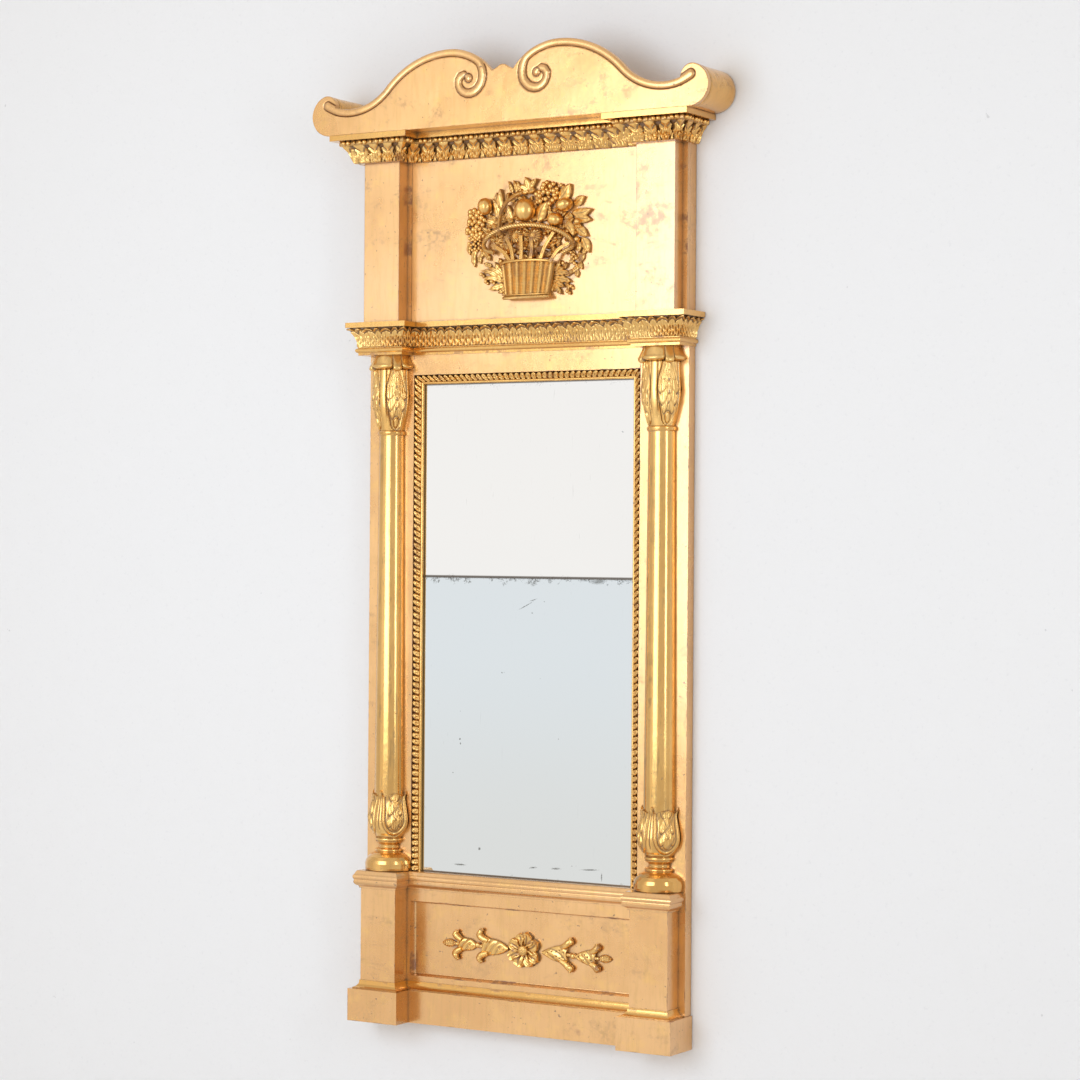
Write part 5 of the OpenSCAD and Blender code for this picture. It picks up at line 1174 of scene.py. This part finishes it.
def bell(carving, foot, mouth, axis, widths, tips, spiral, holes=()):
    """A flower seen from the side: body, an eye near its foot, and two arms that end in curled tips."""
    way = 1.0 if mouth > foot else -1.0
    span = abs(mouth - foot)
    u = np.linspace(0.0, 1.0, 40)[:, None]
    v = np.linspace(-1.0, 1.0, 29)[None, :]
    half = curve(np.linspace(0, 1, len(widths)), widths, u)
    x = foot + way * span * u * (1.0 - 0.07 * (1 - np.abs(v)) * smooth((u - 0.7) / 0.3))
    z = axis + half * v
    strokes = np.cos(TAU * (1.5 * spiral * u + 0.95 * v * (1 - 0.3 * u) + 0.3)) * smooth((u - 0.16) / 0.14)
    lift = 2.8 + 4.8 * dome(v * 0.97, 0.55) * (0.75 + 0.25 * np.sin(math.pi * u)) + 0.8 * strokes * dome(v * 0.9)
    dark = smooth((-strokes - 0.55) / 0.45) * 0.65
    for hx, hz, r in holes:
        d = np.hypot(x - hx, z - hz)
        lift = lift - 2.6 * peak(d, r)
        dark = np.maximum(dark, 1.1 * peak(d, r * 1.15))
    dark = np.clip(np.maximum(dark, smooth((np.abs(v) - 0.90) / 0.1) * 0.7), 0, 1)
    carving.rise(x, z, lift, dark)
    eye, size = foot + way * span * 0.24, 0.30 * widths[2]
    ring = [(eye + 1.35 * size * math.cos(a), axis + size * math.sin(a)) for a in np.linspace(0, TAU, 15)]
    carving.rope(ring, 0.95, 7.0, 0.0, 8)
    carving.ball((eye, carving.ground - 6.6, axis), (1.3, 1.6, 1.1), rows=8, around=12)
    for tip in tips:
        up = 1.0 if tip[1] > axis else -1.0
        edge = axis + up * (widths[-1] - 3.2)
        line = [(mouth - way * span * 0.26, axis + up * (widths[-2] - 4.2)), (mouth - way * 3.0, edge),
                (mouth + way * 2.6, axis + up * (widths[-1] + 1.6)), (tip[0] + way * 1.8, tip[1] - up * 5.0), tip]
        radii = np.interp(np.linspace(0, 1, 24), (0, 0.35, 0.8, 1), (4.4, 6.2, 4.9, 3.0))
        carving.rope(line, radii, (5.0, 5.2, 5.0, 5.6, 6.2), 0.0, 12)
        carving.ball((tip[0] - way * 1.2, carving.ground - 5.6, tip[1] + up * 0.2), (3.8, 3.0, 2.5),
                     turn=0.5 * up * way, rows=10, around=16, crease=0.3)
        groove = [(p[0] - way * 0.4, p[1] + up * 0.2) for p in line[:4]]
        carving.rope(groove, 0.9, (9.0, 9.6, 8.8, 8.6), 0.0, 8)
    carving.ball((mouth + way * 1.0, carving.ground - 4.0, axis), (6.0, 3.6, 3.4), rows=10, around=16, crease=0.2)


def scaly_bud(carving, foot, end, axis, half):
    """A closed bud, crossed by two sets of cuts."""
    u = np.linspace(0.0, 1.0, 36)[:, None]
    v = np.linspace(-1.0, 1.0, 25)[None, :]
    wide = half * np.sin(math.pi * np.clip(0.10 + 0.89 * u, 0, 0.995)) ** 0.65
    hatch = np.cos(TAU * (3.2 * u + 1.2 * v)) * np.cos(TAU * (3.2 * u - 1.2 * v))
    swell = np.sin(math.pi * np.clip(0.08 + 0.9 * u, 0, 1)) ** 0.5
    lift = 1.6 + 6.0 * dome(v * 0.98, 0.55) * swell + 0.65 * hatch * dome(v * 0.9)
    dark = np.maximum(smooth((-hatch - 0.05) / 0.5) * 0.8, smooth((np.abs(v) - 0.90) / 0.1) * 0.7)
    carving.rise(foot + (end - foot) * u, axis + wide * v, lift, dark)


def garlands():
    """On each side of the rosette: two bells and a bud, strung on small knobs."""
    left = Relief(APRON_Y)
    bell(left, -28.9, -83.0, 138.2, (2.2, 9.5, 13.2, 14.6, 17.2), ((-82.6, 166.2), (-84.0, 112.0)), 2.6)
    left.ball((-89.9, APRON_Y - 4.6, 139.6), (5.2, 4.4, 4.6), rows=12, around=18)
    bell(left, -92.6, -132.0, 138.8, (3.0, 9.2, 10.6, 11.8, 14.6), ((-132.4, 160.0), (-131.0, 113.6)), 2.2)
    scaly_bud(left, -137.0, -162.0, 138.6, 6.9)
    left.make("garland_carving_left", APRON_GILT, "garland_left", 55)
    right = Relief(APRON_Y)
    holes = [(48.5, 138.5, 0.9), (57.0, 141.0, 0.8), (66.0, 141.5, 1.0), (72.0, 143.5, 1.0), (66.5, 133.0, 1.2),
             (73.0, 130.0, 1.0), (80.0, 140.0, 1.2), (78.5, 132.0, 1.0), (84.0, 147.0, 1.1), (84.5, 126.0, 1.1),
             (60.0, 131.5, 0.8)]
    bell(right, 38.0, 88.5, 137.2, (2.4, 8.6, 12.6, 15.4, 19.6), ((93.0, 163.6), (93.0, 110.4)), 1.1, holes)
    right.ball((98.0, APRON_Y - 4.6, 135.9), (5.4, 4.4, 4.6), rows=12, around=18)
    holes = [(109.5, 136.0, 1.0), (121.0, 140.0, 1.0), (127.0, 136.5, 1.1), (133.0, 131.5, 1.1), (119.0, 131.0, 0.9)]
    bell(right, 102.6, 143.0, 135.6, (3.0, 8.4, 11.6, 13.6, 16.2), ((144.0, 157.2), (144.0, 114.6)), 1.9, holes)
    scaly_bud(right, 147.5, 171.0, 135.9, 6.9)
    right.make("garland_carving_right", APRON_GILT, "garland_right", 55)


APRON_GILT = gilt("gilt_apron", PALE, PALE_DEEP, rough=0.26, relief=True, reach=0.006, coat=0.25)
rosette()
garlands()


# ---------------------------------------------------------------- stage, light and camera

def plane(name, corners, material):
    mesh = bpy.data.meshes.new(name)
    mesh.from_pydata(corners, [], [(0, 1, 2, 3)])
    obj = bpy.data.objects.new(name, mesh)
    bpy.context.scene.collection.objects.link(obj)
    mesh.materials.append(material)


def plaster(name, one_sided):
    """White plaster with a fine grain: the wall, seen from its front only, or the floor."""
    t = Tree(name)
    grain, fleck = t.noise(150.0, 5.0, 0.72), t.noise(42.0, 3.0, 0.5)
    colour = t.mix(t.mul(t.noise(1.6, 3.0), 0.5), (0.905, 0.90, 0.898), (0.88, 0.88, 0.885))
    colour = t.mix(t.mul(t.steps(grain, 0.56, 0.74), 0.22), colour, (0.66, 0.66, 0.68))
    colour = t.mix(t.mul(t.steps(fleck, 0.765, 0.78), 0.35), colour, (0.45, 0.45, 0.45))
    t.shader(Base_Color=colour, Roughness=0.9, Normal=t.bump(grain, 0.35, 0.0015))
    face = t.surface.links[0].from_socket
    if one_sided:
        # The wall isn't there from behind, and it has openings behind the frame, where light reaches the back
        x, _, z = t.parts(t.place)[0:3]
        across = t.size(x)
        cut = t.node("ShaderNodeNewGeometry").outputs["Backfacing"]
        for half_wide, at_z, half_tall in WALL_OPENINGS:
            beside, above = t.math("LESS_THAN", across, half_wide), t.size(t.sub(z, at_z))
            cut = t.most(cut, t.mul(beside, t.math("LESS_THAN", above, half_tall)))
        at_x, at_z, radius, inner = ROLL_OPENING
        away = [t.math("POWER", t.size(t.sub(a, b)), 2.0) for a, b in ((across, at_x), (z, at_z))]
        in_roll = t.math("LESS_THAN", t.add(*away), radius ** 2)
        cut = t.most(cut, t.mul(in_roll, t.math("GREATER_THAN", across, inner)))
        other = t.node("ShaderNodeBsdfTransparent").outputs[0]
    else:
        # Metal and glass see the floor as the plain background; everything else sees it lit and shadowed
        path = t.node("ShaderNodeLightPath").outputs
        cut = t.most(path["Is Glossy Ray"], path["Is Transmission Ray"])
        other = t.fill(t.node("ShaderNodeEmission"), Strength=seen_room(t))
    both = t.node("ShaderNodeMixShader")
    for value, socket in zip((cut, face, other), both.inputs):
        t.link(value, socket)
    t.link(both.outputs[0], t.surface)
    return t.owner


def seen_room(t):
    """What glossy rays see: the room is brighter round one azimuth than elsewhere."""
    x, y = t.parts(t.place)[0:2]
    azimuth = t.math("ARCTAN2", t.mul(x, -1.0), t.mul(y, -1.0))
    return t.steps(t.size(t.sub(azimuth, BRIGHT_SIDE)), *BRIGHT_EDGE, BACKGROUND, ROOM)


# AMBIENT lights the object. Glossy rays see a white room, BACKGROUND, round one azimuth (towards -X) and ROOM elsewhere
AMBIENT, BACKGROUND, ROOM = 0.64, 1.0, 0.74
BRIGHT_SIDE, BRIGHT_EDGE = math.radians(32.0), (math.radians(10.0), math.radians(26.0))
FLOOR_Z, WALL_Y, WALL_TOP, REACH = -0.42, 0.0015, 7.0, 9.0
# Openings in the wall: half width, middle (z) and half height; behind each roll a disc (x, z, radius) beyond an x
WALL_OPENINGS = ((0.310, 0.767, 0.763), (0.330, 1.518, 0.012))
ROLL_OPENING = (0.3503, 1.5555, 0.028, 0.338)
plane("stage_wall", [(-REACH, WALL_Y, FLOOR_Z), (REACH, WALL_Y, FLOOR_Z), (REACH, WALL_Y, WALL_TOP),
                     (-REACH, WALL_Y, WALL_TOP)], plaster("stage_wall", True))
plane("stage_floor", [(-REACH, -REACH, FLOOR_Z), (REACH, -REACH, FLOOR_Z), (REACH, REACH, FLOOR_Z),
                      (-REACH, REACH, FLOOR_Z)], plaster("stage_floor", False))

w = Tree("studio", world=True)
bpy.context.scene.world = w.owner
path = w.node("ShaderNodeLightPath").outputs
room = seen_room(w)
mirrored = w.most(path["Is Glossy Ray"], path["Is Transmission Ray"])
level = w.blend(path["Is Camera Ray"], w.blend(mirrored, AMBIENT, room), 1.0)
tint = w.mix(w.most(mirrored, path["Is Camera Ray"]), (1.0, 0.92, 0.83), (1.0, 1.0, 1.0))
w.link(w.fill(w.node("ShaderNodeBackground"), Strength=level, Color=tint), w.surface)

# Daylight from the left of the camera, a little cool; the room's light is a little warm, so that white stays white
DAYLIGHT = (0.76, 0.87, 1.0)


def softbox(name, low, high, y, radiance, turn=0.0):
    """A flat lamp between two corners (x, z) of a plane y in front of the wall; radiance 1 is white."""
    width, tall = high[0] - low[0], high[1] - low[1]
    lamp = bpy.data.lights.new(name, "AREA")
    lamp.shape, lamp.size, lamp.size_y = "RECTANGLE", width, tall
    lamp.energy = radiance * math.pi * width * tall
    lamp.color = DAYLIGHT
    obj = bpy.data.objects.new(name, lamp)
    bpy.context.scene.collection.objects.link(obj)
    obj.location = ((low[0] + high[0]) / 2, y, (low[1] + high[1]) / 2)
    obj.rotation_euler = (math.radians(90), 0.0, math.radians(turn))


softbox("key", (-1.41, 0.34), (0.12, 2.20), -3.04, 3.7)
softbox("key_right", (0.14, 0.34), (0.42, 2.20), -3.04, 2.8)
softbox("key_top", (-1.70, 1.44), (-1.43, 2.20), -3.04, 2.4)
softbox("key_left", (-2.35, 1.50), (-1.70, 1.62), -3.04, 1.8)
softbox("strip", (2.41, 0.40), (2.79, 2.10), -1.45, 5.6, 60.0)

CAMERA_AT = (2.4757, -4.0667, 0.8186)
CAMERA_TURN, CAMERA_TILT, CAMERA_ROLL = (math.radians(v) for v in (31.127, 0.1146, 0.3979))
camera_data = bpy.data.cameras.new("camera")
camera_data.lens, camera_data.sensor_width, camera_data.sensor_fit = 94.107, 36.0, "HORIZONTAL"
camera = bpy.data.objects.new("camera", camera_data)
bpy.context.scene.collection.objects.link(camera)
ca, sa, cp, sp = (f(v) for v in (CAMERA_TURN, CAMERA_TILT) for f in (math.cos, math.sin))
forward = Vector((-sa * cp, ca * cp, sp))
right = Vector((ca, sa, 0.0))
up = right.cross(forward)
right_rolled = right * math.cos(CAMERA_ROLL) + up * math.sin(CAMERA_ROLL)
up_rolled = up * math.cos(CAMERA_ROLL) - right * math.sin(CAMERA_ROLL)
turned = Matrix((right_rolled, up_rolled, -forward)).transposed().to_4x4()
camera.matrix_world = Matrix.Translation(CAMERA_AT) @ turned
bpy.context.scene.camera = camera
bpy.context.scene.view_settings.view_transform = "Standard"
